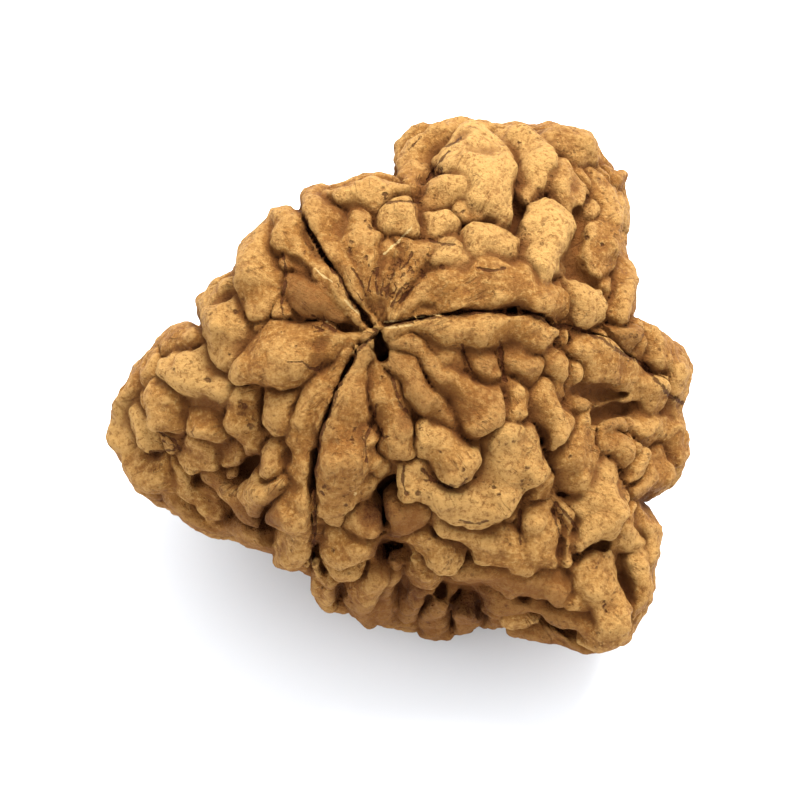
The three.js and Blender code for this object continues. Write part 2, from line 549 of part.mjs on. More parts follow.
// Tubercles that run from spot to spot wherever there is still room between the ridges
function growFillers(taken) {
  const spots = Array.from({ length: FILL_SPOTS }, (_, index) => fillSpot(index, taken));
  const fillers = [];

  function appealOf(spot) {
    return spot.room * spot.reachOut;
  }

  function chainFrom(first, radius, size) {
    const chain = [first];
    const isLong = size > LONG_FILL_RADIUS;
    const links = isLong ? 1 + Math.floor(LONGEST_FILL * scatter(first.index, LINKS_SALT)) : 1;
    for (let link = 0; link < links; link += 1) {
      const last = chain[chain.length - 1];
      const shortest = SHORTEST_LINK * radius;
      const fitting = spots.filter((spot) => {
        const away = spot.point.distanceTo(last.point);
        const isNext = away > shortest && away < LONGEST_LINK * radius && spot.room > NEXT_ROOM * size;
        return isNext && spot.point.distanceTo(first.point) > shortest * chain.length;
      });
      if (fitting.length === 0) {
        break;
      }
      chain.push(fitting.reduce((best, spot) => (appealOf(spot) > appealOf(best) ? spot : best)));
    }
    return chain;
  }

  function endAt(spot, radius) {
    const shown = radius * (END_SHARES[0] + END_SHARES[1] * scatter(spot.index, END_SALT));
    const toOutline = (shown - spot.limbRoom) / spot.slant;
    const sink = Math.max(FILL_SINK, toOutline) + shown * (RIDGE_SPREAD - 1);
    return { middle: offset(spot.point, spot.normal, -sink), radius: shown * RIDGE_SPREAD, sink };
  }

  for (const size of FILL_RADII) {
    for (let turn = 0; turn < FILL_SPOTS; turn += 1) {
      const first = spots[(turn * FILL_STRIDE) % FILL_SPOTS];
      if (first.room < FIRST_ROOM * size) {
        continue;
      }
      const radius = size * (SIZE_SHARES[0] + SIZE_SHARES[1] * scatter(first.index, SIZE_SALT));
      for (const [one, two] of pairsOf(chainFrom(first, radius, size))) {
        const claimed = roundCone(one.point, two.point, radius, radius);
        for (const spot of spots) {
          spot.room = Math.min(spot.room, distanceTo(claimed, spot.point));
        }
        const ends = [endAt(one, radius), endAt(two, radius)];
        if (Math.max(ends[0].sink, ends[1].sink) < DEEPEST_SINK + size) {
          fillers.push(...conesAlong(ends));
        }
      }
    }
  }
  return fillers;
}

function directionOf(cone) {
  return offset(cone.start, cone.axis, 0.5).sub(MIDDLE).normalize();
}

// Distance to the bead's surface, given the ridges and hollows near the point
function gapAt(point, ridges, hollows) {
  const body = smoothMin(unionOf(bodyCones, point, MOUND_BLEND), distanceTo(heel, point), MOUND_BLEND);
  const hollowed = smoothMax(body + BODY_INSET, -unionOf(hollows, point, HOLLOW_BLEND), HOLLOW_BLEND);
  const ridged = smoothMin(hollowed, unionOf(ridges, point, RIDGE_BLEND), ROOT_BLEND);
  return smoothMax(ridged, TRIM_OFFSET - roomInOutline(point), TRIM_BLEND);
}

// The faceted skin: a ball of small triangles, each corner moved in to the bead's surface
function growSkin(ridges, hollows) {
  const ball = new THREE.IcosahedronGeometry(1, SKIN_DETAIL);
  ball.deleteAttribute('normal');
  ball.deleteAttribute('uv');
  const skin = mergeVertices(ball);
  const corners = skin.getAttribute('position');
  const direction = new THREE.Vector3();
  const point = new THREE.Vector3();
  const ridgeDirections = ridges.map(directionOf);
  const hollowDirections = hollows.map(directionOf);
  for (let index = 0; index < corners.count; index += 1) {
    direction.fromBufferAttribute(corners, index).normalize();
    const isNear = (other) => other.dot(direction) > NEAR_COSINE;
    const nearRidges = ridges.filter((_, which) => isNear(ridgeDirections[which]));
    const nearHollows = hollows.filter((_, which) => isNear(hollowDirections[which]));
    let reach = SEARCH_START;
    for (let step = 0; step < SEARCH_STEPS; step += 1) {
      point.copy(MIDDLE).addScaledVector(direction, reach);
      const gap = gapAt(point, nearRidges, nearHollows);
      if (gap < SEARCH_CLOSE) {
        break;
      }
      reach -= gap * SEARCH_SHARE;
    }
    corners.setXYZ(index, point.x, point.y, point.z);
  }
  return skin;
}

const wasm = await Module();
wasm.setup();

function toSolid(geometry) {
  const bare = geometry.clone();
  bare.deleteAttribute('normal');
  bare.deleteAttribute('uv');
  const merged = mergeVertices(bare);
  const vertProperties = new Float32Array(merged.getAttribute('position').array);
  const triVerts = new Uint32Array(merged.getIndex().array);
  return new wasm.Manifold(new wasm.Mesh({ numProp: 3, vertProperties, triVerts }));
}

function toGeometry(solid) {
  const mesh = solid.getMesh();
  const geometry = new THREE.BufferGeometry();
  geometry.setAttribute('position', new THREE.BufferAttribute(mesh.vertProperties, 3));
  geometry.setIndex(new THREE.BufferAttribute(mesh.triVerts, 1));
  return geometry;
}

// The drilled hole runs through the middle; where the string rubs, its upper mouth is a short slot
function stringHole() {
  const mouth = place(...UPPER_MOUTH);
  const alongHole = new THREE.Vector3().subVectors(mouth, MIDDLE).normalize();
  const turn = new THREE.Quaternion().setFromUnitVectors(AXES[1], alongHole);
  const bore = new THREE.CylinderGeometry(STRING_HOLE_RADIUS, STRING_HOLE_RADIUS, BEAD_SPAN * 2, BORE_SIDES);
  bore.applyQuaternion(turn);
  bore.translate(MIDDLE.x, MIDDLE.y, MIDDLE.z);
  const slot = new THREE.CylinderGeometry(0.5, 0.5, 2 * MOUTH_DEPTH, MOUTH_SIDES);
  slot.scale(MOUTH_WIDTH, 1, MOUTH_LENGTH);
  slot.applyQuaternion(turn);
  slot.translate(mouth.x, mouth.y, mouth.z);
  return [toSolid(bore), toSolid(slot)];
}

function belowStandingSurface() {
  const size = 2 * BEAD_SPAN;
  const block = new THREE.BoxGeometry(size, size, size);
  block.translate(FLAT_SPOT.x, FLAT_SPOT.y, FLAT_SPOT.z - size / 2);
  return toSolid(block);
}

function makeBead() {
  const ridges = growRidges();
  const hollows = growHollows();
  const fillers = growFillers([...ridges, ...hollows]);
  let bead = toSolid(growSkin([...ridges, ...fillers], hollows));
  for (const cut of [...stringHole(), belowStandingSurface()]) {
    bead = bead.subtract(cut);
  }
  const geometry = toGeometry(bead);
  geometry.computeBoundingBox();
  const box = geometry.boundingBox;
  geometry.translate(-(box.min.x + box.max.x) / 2, -(box.min.y + box.max.y) / 2, -box.min.z);
  const toSize = BEAD_SPAN / (box.max.x - box.min.x);
  geometry.scale(toSize, toSize, toSize);
  geometry.computeVertexNormals();
  const stone = new THREE.MeshStandardMaterial({ color: '#b98a54', roughness: 0.72, metalness: 0 });
  const mesh = new THREE.Mesh(geometry, stone);
  mesh.name = 'rudraksha_bead';
  return mesh;
}

const group = new THREE.Group();
group.add(makeBead());

export default group;
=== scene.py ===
"""A rudraksha bead in its finished looks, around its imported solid.

The bead is one natural piece. Its ridges and knobs are described from above the upper mouth of the
string hole, each by its place in the picture in pixels; a field is grown from them, turned into a
mesh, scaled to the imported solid's box and given a procedural surface.
"""
import math

import bmesh
import bpy
import numpy as np
from mathutils import Matrix, Vector, noise


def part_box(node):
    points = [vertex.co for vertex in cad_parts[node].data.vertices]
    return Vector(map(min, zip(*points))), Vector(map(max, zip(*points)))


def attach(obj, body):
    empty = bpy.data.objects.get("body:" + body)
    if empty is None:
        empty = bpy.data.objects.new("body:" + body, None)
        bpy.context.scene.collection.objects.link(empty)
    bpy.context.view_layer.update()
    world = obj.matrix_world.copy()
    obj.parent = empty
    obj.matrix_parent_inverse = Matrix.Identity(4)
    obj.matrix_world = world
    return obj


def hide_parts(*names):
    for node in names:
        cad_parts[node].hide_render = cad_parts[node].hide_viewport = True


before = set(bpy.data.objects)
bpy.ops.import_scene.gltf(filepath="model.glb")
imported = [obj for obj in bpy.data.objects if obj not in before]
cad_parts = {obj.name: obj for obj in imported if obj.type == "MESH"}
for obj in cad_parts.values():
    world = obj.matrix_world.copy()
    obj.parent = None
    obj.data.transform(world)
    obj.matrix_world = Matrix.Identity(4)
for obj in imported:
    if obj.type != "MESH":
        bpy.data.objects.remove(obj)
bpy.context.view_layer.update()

NODE = "rudraksha_bead"
BODY_NAME = "root"

# The sight line from which the bead is described, which is also the camera's
PICTURE_SIZE = 800
PICTURE_MIDDLE = 400
FOCAL_LENGTH_PX = 2400
PIXELS_PER_MM = 28
SIGHT_ELEVATION = math.radians(58)
REACH = FOCAL_LENGTH_PX / PIXELS_PER_MM
SENSOR_WIDTH = 36
CAMERA_NEAREST = 0.001

# Picture position and depth in mm of the body's middle and of the upper mouth of the string hole
BODY_MIDDLE = (404, 395, 8.4)
UPPER_MOUTH = (380, 345, 0)

# From the body's middle to the middle of the flat spot: right, back and down, in mm
TO_FLAT_SPOT = (0.8, 0.4, -10.3)
FLAT_SPOT_RADIUS = 2.3
HEEL_RADIUS = 4

# Growth of the ridges out of the body, in mm; a ridge is wider than it shows, and sunk by the difference
MOUND_BLEND = 1.6
RIDGE_BLEND = 0.16
ROOT_BLEND = 0.25
ROOT_DEPTH = 0.6
RIDGE_SPREAD = 1.3
CREASE_DEPTH = 0.15
CREASE_WIDTH = 0.36
CELL_RISE = 0.2
CELL_DEPTH = 0.5
CELL_WIDTH = 0.42

# Ridges run into each other more and more softly between these depths below the mouth, in mm
SOFT_FROM = 2.5
SOFT_TO = 7.0
MERGE_NEAR = 0.16
MERGE_FAR = 0.36
SOFT_CREASE = 0.6

# A slow wander of the ridges, and the lumps of the skin: size and height in mm
WARP_WAVES = 9
WARP_LONGEST = 3.6
WARP_SHORTENING = 0.6
WARP_PUSH = 0.1
SKIN_LUMPS = ((1.5, 0.13), (0.75, 0.11), (0.36, 0.08))

# Marks and the patches of painted shade and light: half width of a seam's line in pixels, then how far
# beside and behind them the skin is still coloured, in mm, and the distance in half widths that is given to
# the skin beyond
SEAM_MARK = 1.9
MARK_REACH = 0.35
MARK_DEPTH = 1.2
TINT_DEPTH = 3.0
MARK_BEYOND = 20.0

# How a mark's edge wavers, sizes in m, and where it fades, in half widths
WAVER_SIZE = 0.0003
WAVER_LEAST = -0.5
WAVER_MOST = 1.0
FADE_START = 1.5
FADE_END = 0.5

# How many times the grain changes around the string hole and along its meridians
GRAIN_AROUND = 26
GRAIN_ALONG = 7

# Colours of the seed stone, and its finish and the floor's; the bump is in m. RED and the darkest brown also
# serve as painted shade in the creases, hollows and lower tier, where the darkest brown also colours the
# real cracks, pits and seam lines; PALE also serves as painted light on the open crests and lit lobes
TAN = (0.285, 0.122, 0.027)
PALE = (0.52, 0.29, 0.09)
RED = (0.17, 0.061, 0.014)
SHADE_AND_MARK_BROWN = (0.055, 0.013, 0.004)
FIBRE = (0.62, 0.42, 0.17)
FLOOR_COLOUR = (0.72, 0.72, 0.72, 1)
STONE_ROUGHNESS = 0.72
STONE_SPECULAR = 0.06
FLOOR_ROUGHNESS = 0.9
BUMP_HEIGHT = 0.0002

# Values that the mesh carries for the material, and how far the solid is blurred for three of them, in mm.
# The blurred solid tells how enclosed each point is: the material paints shade with it into creases, hollows
# and broad recesses, and the valley value paints shade onto the floors between ridges
SKIN_VALUES = ("tone", "crease", "hollow_shade", "shade", "valley")
BLUR_REACHES = {"crease": 0.4, "hollow_shade": 1.2, "shade": 2.4}

# Places of the colours among a mix node's sockets
MIX_FROM = 6
MIX_TO = 7
MIX_RESULT = 2

# Floor and light, in m and W; the key's side is right, up and toward the camera
FLOOR_SIZE = 1.2
KEY_DISTANCE = 0.30
KEY_SIZE = 0.16
KEY_POWER = 1.95
KEY_SIDE = (0.20, 0.80, 0.60)
LIGHT_SIDE = (0.0, 0.85, 0.53)
SKY_COLOUR = (0.96, 1.0, 1.05, 1)
SKY_LOW = 1.5
SKY_HIGH = 2.55

# Small tubercles fill the room that the described ridges leave, the largest first
FILL_RADII = (0.8, 0.62, 0.48, 0.36, 0.26)
FILL_SPOTS = 2600
FILL_STRIDE = 1009
FILL_SINK = 0.1
LONG_FILL_RADIUS = 0.5
LONGEST_FILL = 3
DEEPEST_SINK = 0.8

# Lengths of a filler's links in radii, and the room that one needs, in sizes
LINK_SHORTEST = 1.3
LINK_LONGEST = 2.6
ROOM_TO_START = 0.8
ROOM_TO_GO_ON = 0.62

# Spread of the fillers' widths, ends, tones and directions
NARROWEST_FILL = 0.85
FILL_RANGE = 0.35
NARROWEST_END = 0.8
END_RANGE = 0.4
FILL_TONE = 0.3
LEAST_APPEAL = 0.5
LEAST_SLANT = 0.5

# The outline trims the limb; its distances are worked out once for every few pixels
TRIM_BLEND = 0.35
TRIM_OFFSET = -0.05
OUTLINE_STEP = 2
JUST_INSIDE = 0.001

# Cuts, in mm
SEAM_RISE = 0.9
SEAM_DEPTHS = {"a": 0.5, "b": 0.05, "c": 0.6}
SEAM_WIDTH = 0.08
SEAM_NARROWING = 0.01
SUTURE_BLEND = 0.08
HIDDEN_SEAM_STEPS = 9
SLOT_DEPTHS = (-0.5, 2.0)
SLOT_STEPS = 9
HOLLOW_BLEND = 0.22
HOLLOW_RISE = 0.9
HOLLOW_STEPS = 5
HOLLOW_TAPER = 0.75
STRING_HOLE_RADIUS = 0.3

# Walking along a line towards the body: steps, their share of the gap, shortest step, arrival and start
WALK_STEPS = 90
WALK_SHARE = 0.8
WALK_LEAST = 0.03
WALK_ARRIVED = 0.004
WALK_START = -2.0
INWARD_SHARE = 0.9
OUT_OF_BODY = 16.0
NORMAL_STEP = 0.05
TINY = 1e-9

# Factors that turn an index into scattered numbers, and which of them are drawn for what
SCATTER_PER_INDEX = 12.9898
SCATTER_PER_SALT = 78.233
SCATTER_SPREAD = 43758.5453
APPEAL_SALT = 3
LINKS_SALT = 4
WIDTH_SALT = 2
END_SALT = 5
TONE_SALT = 7
WARP_WAY_SALTS = (11, 12, 13)
WARP_PUSH_SALTS = (14, 15, 16)
WARP_PHASE_SALT = 17

# Fineness of the grid and of the finished mesh, and how far around a shape the grid is worked out, in mm
VOXEL = 0.1
GRID_MARGIN = 0.6
RIDGE_MARGIN = 1.1
BODY_MARGIN = MOUND_BLEND + 1.2
SEAM_MARGIN = SEAM_WIDTH + 4 * SUTURE_BLEND
CUT_MARGIN = 0.2
CUT_MARGIN_PER_BLEND = 3
TRIM_REACH = 3 * TRIM_BLEND
MOST_TRIANGLES = 190000
FAR = 50.0

# Swellings of the body: picture position, depth of the front, radius
MOUNDS = {
    "crown": (384, 345, 0.6, 5.2),
    "crown_up": (372, 260, 1.0, 3.0),
    "crown_left": (310, 308, 1.0, 2.9),
    "crown_left_low": (300, 360, 1.3, 3.2),
    "crown_low": (345, 440, 1.9, 3.0),
    "crown_right": (470, 300, 1.3, 3.2),
    "crown_right_low": (455, 400, 2.0, 3.2),
    "shoulder": (284, 264, 2.2, 1.6),
    "shoulder_tip": (302, 240, 3.2, 1.3),
    "back_ridge": (368, 228, 2.4, 1.4),
    "left_a": (240, 326, 3.2, 1.4),
    "left_b": (205, 382, 3.8, 2.2),
    "left_c": (250, 410, 3.4, 2.2),
    "left_d": (186, 388, 6.4, 1.9),
    "left_e": (174, 424, 7.2, 1.8),
    "left_f": (186, 458, 8.0, 1.8),
    "left_g": (212, 436, 5.6, 2.2),
    "left_h": (222, 476, 7.6, 1.8),
    "left_i": (256, 496, 8.2, 1.7),
    "flank_c": (302, 470, 3.2, 1.8),
    "flank_c_end": (295, 515, 4.4, 1.6),
    "flank_c_tip": (290, 545, 5.8, 1.4),
    "leaf_end": (338, 495, 3.2, 1.6),
    "leaf_tip": (348, 550, 5.2, 1.6),
    "top_a": (436, 172, 5.2, 1.4),
    "top_b": (478, 184, 4.8, 1.9),
    "top_c": (480, 240, 2.2, 2.4),
    "top_d": (545, 184, 5.6, 1.9),
    "top_e": (545, 240, 3.4, 2.2),
    "top_f": (578, 196, 7.4, 1.7),
    "top_g": (576, 232, 7.2, 1.6),
    "top_h": (584, 286, 7.6, 1.6),
    "flank_b": (540, 300, 2.8, 2.0),
    "flank_b_end": (583, 308, 4.6, 1.8),
    "right_a": (595, 355, 5.0, 2.2),
    "right_b": (640, 385, 7.2, 2.0),
    "right_c": (630, 364, 8.6, 1.5),
    "right_d": (640, 378, 9.4, 1.5),
    "right_e": (634, 440, 9.2, 1.8),
    "right_f": (612, 462, 7.8, 1.8),
    "mid_a": (530, 365, 2.8, 2.4),
    "mid_b": (550, 410, 3.8, 2.2),
    "mid_c": (578, 460, 4.8, 2.2),
    "mid_d": (592, 512, 5.6, 1.8),
    "mid_e": (540, 530, 4.6, 2.0),
    "mid_f": (500, 480, 3.8, 2.6),
    "mid_g": (440, 450, 3.0, 2.4),
    "mid_h": (435, 500, 4.0, 2.2),
    "mid_i": (500, 535, 5.0, 1.8),
    "right_low": (614, 540, 7.8, 1.4),
    "right_lower": (606, 584, 8.0, 1.4),
    "nose": (590, 585, 6.0, 1.4),
    "nose_tip": (596, 614, 6.8, 1.2),
    "band": (520, 576, 6.6, 1.6),
    "band_low": (548, 602, 8.4, 1.2),
    "band_left": (470, 575, 6.8, 1.5),
    "bottom_a": (432, 555, 6.8, 1.4),
    "bottom_b": (376, 576, 8.8, 1.5),
    "bottom_c": (430, 594, 11.0, 1.4),
    "bottom_d": (476, 586, 11.0, 1.4),
    "bottom_e": (346, 574, 9.2, 1.0),
}

# The body behind them, as chains: picture position, depth of the middle, radius
BODY = {
    "core": [(404, 395, 8.6, 7.2)],
    "core_low": [(410, 418, 11.0, 6.5)],
    "top_lobe": [(430, 300, 5.6, 3.6), (515, 222, 8.2, 3.0), (500, 268, 11.8, 3.7),
        (455, 350, 13.4, 3.8)],
    "left_lobe": [(320, 350, 5.6, 3.6), (212, 420, 9.2, 2.9), (240, 428, 12.0, 3.6),
        (330, 430, 13.6, 3.8)],
    "right_lobe": [(450, 400, 5.6, 3.6), (600, 430, 10.2, 2.6), (556, 436, 12.4, 3.6),
        (480, 430, 13.6, 3.8)],
    "right_low_lobe": [(500, 470, 7.6, 3.2), (588, 558, 9.4, 2.2), (540, 515, 12.0, 3.2)],
    "low_lobe": [(400, 470, 8.0, 3.4), (415, 535, 11.6, 2.9), (420, 490, 13.4, 3.4)],
}

# Ridges and knobs: how far they stand out, tone from -1 red to 1 pale, picture position and radius.
# The tone is the skin's own redder or paler colour, and on the low ridges of the bottom tier (bands, fins,
# under_cavity) it is painted shade
RIDGES = {
    "flank_a_left": (0.15, -0.1, [(285, 215, 17), (294, 235, 16), (306, 255, 14), (320, 272, 13),
        (336, 290, 11), (352, 309, 8), (364, 322, 4)]),
    "shoulder_ridge": (0, 0, [(273, 222, 12), (262, 240, 17), (257, 262, 19), (257, 282, 18),
        (263, 300, 13)]),
    "brown_plate": (0, -0.9, [(298, 292, 13), (318, 298, 15), (340, 310, 10)]),
    "brown_plate_top": (0, -0.7, [(290, 262, 10), (300, 276, 9)]),
    "left_bumps": (0, 0.5, [(212, 303, 13), (228, 290, 13)]),
    "striated": (0, 0.5, [(215, 312, 15), (232, 320, 20), (226, 340, 18)]),
    "wedge": (0, 0, [(355, 338, 5), (330, 348, 13), (300, 355, 20), (270, 360, 24), (250, 362, 19)]),
    "pale_ridge": (0.1, 0.7, [(172, 364, 15), (196, 376, 22), (222, 392, 17)]),
    "pale_ridge_low": (0, 0.3, [(200, 398, 9), (222, 408, 8)]),
    "granular_knob": (0, 0, [(243, 402, 15), (246, 425, 15), (250, 440, 8)]),
    "knob_one": (0, 0, [(284, 408, 16), (297, 425, 13)]),
    "knob_two": (0, 0, [(278, 455, 15)]),
    "flank_c_left": (0.1, -0.1, [(352, 350, 7), (340, 373, 9), (326, 395, 12), (313, 418, 16),
        (306, 443, 17), (303, 468, 15), (300, 492, 18), (295, 510, 23)]),
    "knob_three": (0.1, 0.3, [(303, 530, 14), (291, 552, 15)]),
    "leaf_foot": (0, -0.3, [(303, 578, 11), (322, 598, 13)]),
    "leaf_foot_low": (0, -0.3, [(343, 604, 13)]),
    "stub": (0.6, 0, [(280, 480, 10), (262, 488, 11), (247, 497, 12)]),
    "outer_upper": (0, 0, [(175, 339, 14), (190, 338, 12)]),
    "outer_notch": (0, 0, [(155, 358, 9), (148, 372, 14)]),
    "outer_ridge": (0, 0.2, [(140, 385, 15), (127, 405, 17), (122, 430, 14), (128, 447, 12)]),
    "outer_inner": (0.1, 0.3, [(141, 418, 12), (150, 440, 10)]),
    "mid_left": (0, 0, [(160, 396, 14), (172, 416, 20)]),
    "mid_left_two": (0, 0, [(212, 428, 18)]),
    "rim_lump": (0, 0.2, [(204, 450, 14), (190, 462, 10)]),
    "rim_ring": (0, 0, [(182, 470, 8), (186, 488, 9), (200, 495, 8), (215, 489, 8)]),
    "lower_left": (0, 0, [(136, 468, 17), (160, 478, 20)]),
    "lower_left_edge": (0, -0.4, [(152, 490, 11)]),
    "lower_left_band": (0, -0.5, [(175, 498, 12), (195, 515, 14), (225, 522, 14), (250, 535, 14)]),
    "small_ridge": (0.2, 0.3, [(203, 498, 6), (212, 514, 5)]),
    "lower_left_mid": (0, -0.3, [(220, 500, 14)]),
    "flank_a_right": (0.15, -0.2, [(308, 194, 10), (316, 212, 16), (326, 232, 18), (337, 252, 16),
        (348, 272, 13), (357, 292, 11), (364, 308, 6), (370, 320, 4)]),
    "back_ridge": (0, 0.4, [(330, 197, 10), (352, 200, 17), (377, 192, 19), (394, 194, 13)]),
    "arch_bump": (0.1, 0.5, [(392, 217, 12), (405, 216, 15)]),
    "middle_plate": (0, -0.2, [(352, 225, 14), (357, 245, 18), (364, 266, 18), (370, 288, 14),
        (376, 306, 8)]),
    "middle_fill": (0, -0.2, [(388, 262, 15), (384, 282, 14), (381, 300, 9)]),
    "hump": (0, 0.6, [(430, 258, 15), (445, 262, 20), (460, 268, 16)]),
    "hump_low": (-0.1, 0.2, [(425, 280, 10), (455, 283, 10)]),
    "granular_plate": (0, -0.2, [(416, 254, 20), (406, 278, 18), (394, 300, 12), (386, 313, 6)]),
    "small_bump": (0, 0.7, [(440, 228, 15)]),
    "bump": (0, 0.6, [(484, 250, 19), (496, 249, 20)]),
    "flank_b_upper": (0.1, -0.1, [(396, 314, 9), (412, 307, 13), (432, 298, 18), (460, 290, 23),
        (490, 285, 25), (515, 288, 24), (540, 296, 22), (556, 303, 13)]),
    "flank_b_end": (0, 0.5, [(577, 306, 18), (589, 310, 16)]),
    "top_finger_one": (0, 0.2, [(400, 168, 7), (403, 148, 8), (414, 133, 9), (428, 129, 8)]),
    "top_finger_two": (0, 0.2, [(411, 190, 9), (413, 172, 13), (424, 154, 13), (438, 140, 12),
        (455, 129, 10)]),
    "top_drop": (0, 1.0, [(474, 152, 27), (480, 178, 28), (485, 203, 19)]),
    "top_drop_left": (0, 0.4, [(438, 192, 15), (455, 196, 16)]),
    "top_drop_low": (0, 0.3, [(466, 212, 9), (480, 217, 8)]),
    "top_mid": (0, 0.7, [(530, 146, 22), (535, 172, 23), (536, 188, 17)]),
    "top_mid_fold": (0, 0.5, [(505, 140, 10), (507, 160, 9)]),
    "top_right": (0, 0.4, [(562, 146, 23), (580, 148, 20)]),
    "top_mid_low": (0, 0.4, [(562, 178, 16), (560, 194, 13)]),
    "dumbbell": (0.2, 1.0, [(548, 228, 21), (545, 245, 17), (538, 267, 20)]),
    "point": (0, -0.1, [(612, 173, 10), (622, 174, 9)]),
    "right_column": (0, -0.2, [(600, 195, 19), (604, 222, 20), (602, 250, 19)]),
    "right_column_low": (0, -0.1, [(625, 283, 12), (620, 305, 13)]),
    "red_lump": (0, -0.6, [(622, 335, 15)]),
    "back_right": (0, -0.1, [(652, 345, 18), (664, 352, 16)]),
    "back_right_low": (0, 0.1, [(674, 370, 16), (672, 388, 13)]),
    "flank_b_lower": (0.1, -0.2, [(395, 330, 8), (420, 328, 11), (450, 328, 17), (480, 328, 20),
        (510, 328, 21), (537, 332, 17)]),
    "b_knob": (0, -0.1, [(560, 334, 9)]),
    "b_outer": (0, 0, [(577, 342, 12), (595, 352, 17), (622, 370, 16), (646, 390, 16), (650, 400, 14)]),
    "fold_one": (0, -0.5, [(430, 343, 8), (445, 354, 14), (456, 365, 11)]),
    "fold_two": (0, -0.5, [(468, 345, 9), (481, 356, 15), (487, 372, 10)]),
    "fold_three": (0, -0.4, [(512, 346, 14), (523, 366, 17)]),
    "plate_edge": (0.1, -0.2, [(548, 348, 9), (553, 368, 13), (558, 388, 9), (566, 405, 4),
        (568, 418, 3)]),
    "diagonal_one": (0.1, -0.4, [(392, 340, 4), (410, 347, 7), (430, 362, 10), (450, 380, 14),
        (468, 396, 19), (482, 413, 20)]),
    "diagonal_two": (0.1, -0.5, [(393, 352, 5), (403, 372, 8), (418, 390, 11), (435, 404, 12),
        (449, 420, 11)]),
    "bump_one": (0, 0.2, [(512, 396, 12), (516, 413, 14)]),
    "bump_two": (0.1, 0.2, [(549, 402, 18), (553, 418, 18)]),
    "rim_bump": (0, 0.2, [(570, 446, 20), (580, 470, 19)]),
    "leaf": (0.3, -0.3, [(366, 348, 6), (356, 372, 10), (347, 400, 15), (340, 430, 20),
        (345, 458, 27), (341, 480, 23), (337, 498, 18), (334, 512, 12), (332, 521, 6)]),
    "leaf_side_one": (0, -0.3, [(372, 372, 7), (380, 392, 13), (387, 410, 10), (398, 427, 13),
        (398, 443, 12), (386, 447, 8)]),
    "leaf_side_two": (0.4, 0.1, [(358, 432, 11), (364, 444, 13)]),
    "leaf_side_four": (0.2, 0.1, [(362, 462, 12), (372, 464, 11)]),
    "egg": (0.2, 0.3, [(428, 424, 8), (438, 442, 15), (452, 463, 20)]),
    "u_ridge": (0.1, 0.5, [(409, 468, 10), (416, 486, 14), (440, 501, 17), (470, 503, 18),
        (498, 490, 20), (520, 466, 26), (508, 441, 20)]),
    "lower_slope": (0, 0.3, [(436, 519, 8), (462, 531, 12), (492, 544, 16), (522, 556, 16)]),
    "oval": (0.1, 0.3, [(538, 525, 16), (540, 548, 17)]),
    "fan_fold": (0, 0.2, [(563, 518, 6), (567, 535, 6), (566, 553, 6)]),
    "right_slope": (0, 0.5, [(595, 485, 20), (600, 512, 24), (585, 530, 14)]),
    "granular_lump": (0, 0, [(533, 480, 15)]),
    "nose": (0.1, 0.2, [(590, 572, 15), (602, 592, 16), (610, 615, 18), (608, 635, 17)]),
    "nose_left": (0, 0, [(580, 600, 12)]),
    "band_upper": (0, -0.6, [(470, 572, 16), (500, 574, 15), (530, 580, 13), (560, 588, 12)]),
    "band_middle": (0, -0.7, [(500, 600, 9), (530, 606, 8), (560, 613, 9), (590, 625, 10)]),
    "band_lowest": (0, -0.7, [(515, 628, 9), (545, 632, 8), (575, 645, 8), (598, 650, 8)]),
    "right_edge": (0, 0.1, [(640, 520, 10), (650, 527, 12), (648, 545, 11)]),
    "right_edge_low": (0, 0, [(636, 560, 12), (641, 585, 12), (640, 602, 10)]),
    "right_back": (0, -0.2, [(640, 425, 14), (668, 432, 16), (674, 452, 15)]),
    "right_back_low": (0, -0.3, [(655, 472, 20), (640, 488, 12)]),
    "right_inner": (0, -0.2, [(615, 445, 14)]),
    "right_notch": (0, 0, [(672, 408, 10)]),
    "under_cavity": (0, -0.8, [(398, 508, 13), (416, 522, 16)]),
    "low_lump": (0, 0.1, [(430, 545, 15), (446, 556, 13)]),
    "low_lump_right": (0, -0.1, [(470, 572, 15)]),
    "below_leaf": (0, 0.0, [(336, 546, 19), (354, 541, 19)]),
    "below_leaf_low": (0, -0.2, [(345, 566, 13)]),
    "leaf_shadow_wall": (0, -0.3, [(362, 520, 15)]),
    "fin_one": (0.1, -0.4, [(376, 572, 10), (364, 590, 12), (360, 608, 13), (366, 620, 10)]),
    "fin_two": (0.1, -0.5, [(394, 574, 5), (386, 592, 8), (384, 608, 11), (388, 618, 10)]),
    "fin_three": (0.1, -0.5, [(418, 588, 6), (408, 602, 8), (406, 614, 9)]),
    "fin_four": (0.1, -0.6, [(444, 604, 6), (434, 618, 10), (432, 632, 13), (446, 634, 10)]),
    "fin_five": (0, -0.8, [(468, 616, 9), (464, 630, 8)]),
    "fin_six": (0, -0.8, [(494, 612, 8), (488, 622, 7)]),
    "bottom_bar": (0, 0, [(325, 590, 6), (326, 605, 6)]),
    "bottom_frame": (0, 0, [(313, 560, 4), (314, 580, 4), (330, 579, 4)]),
}

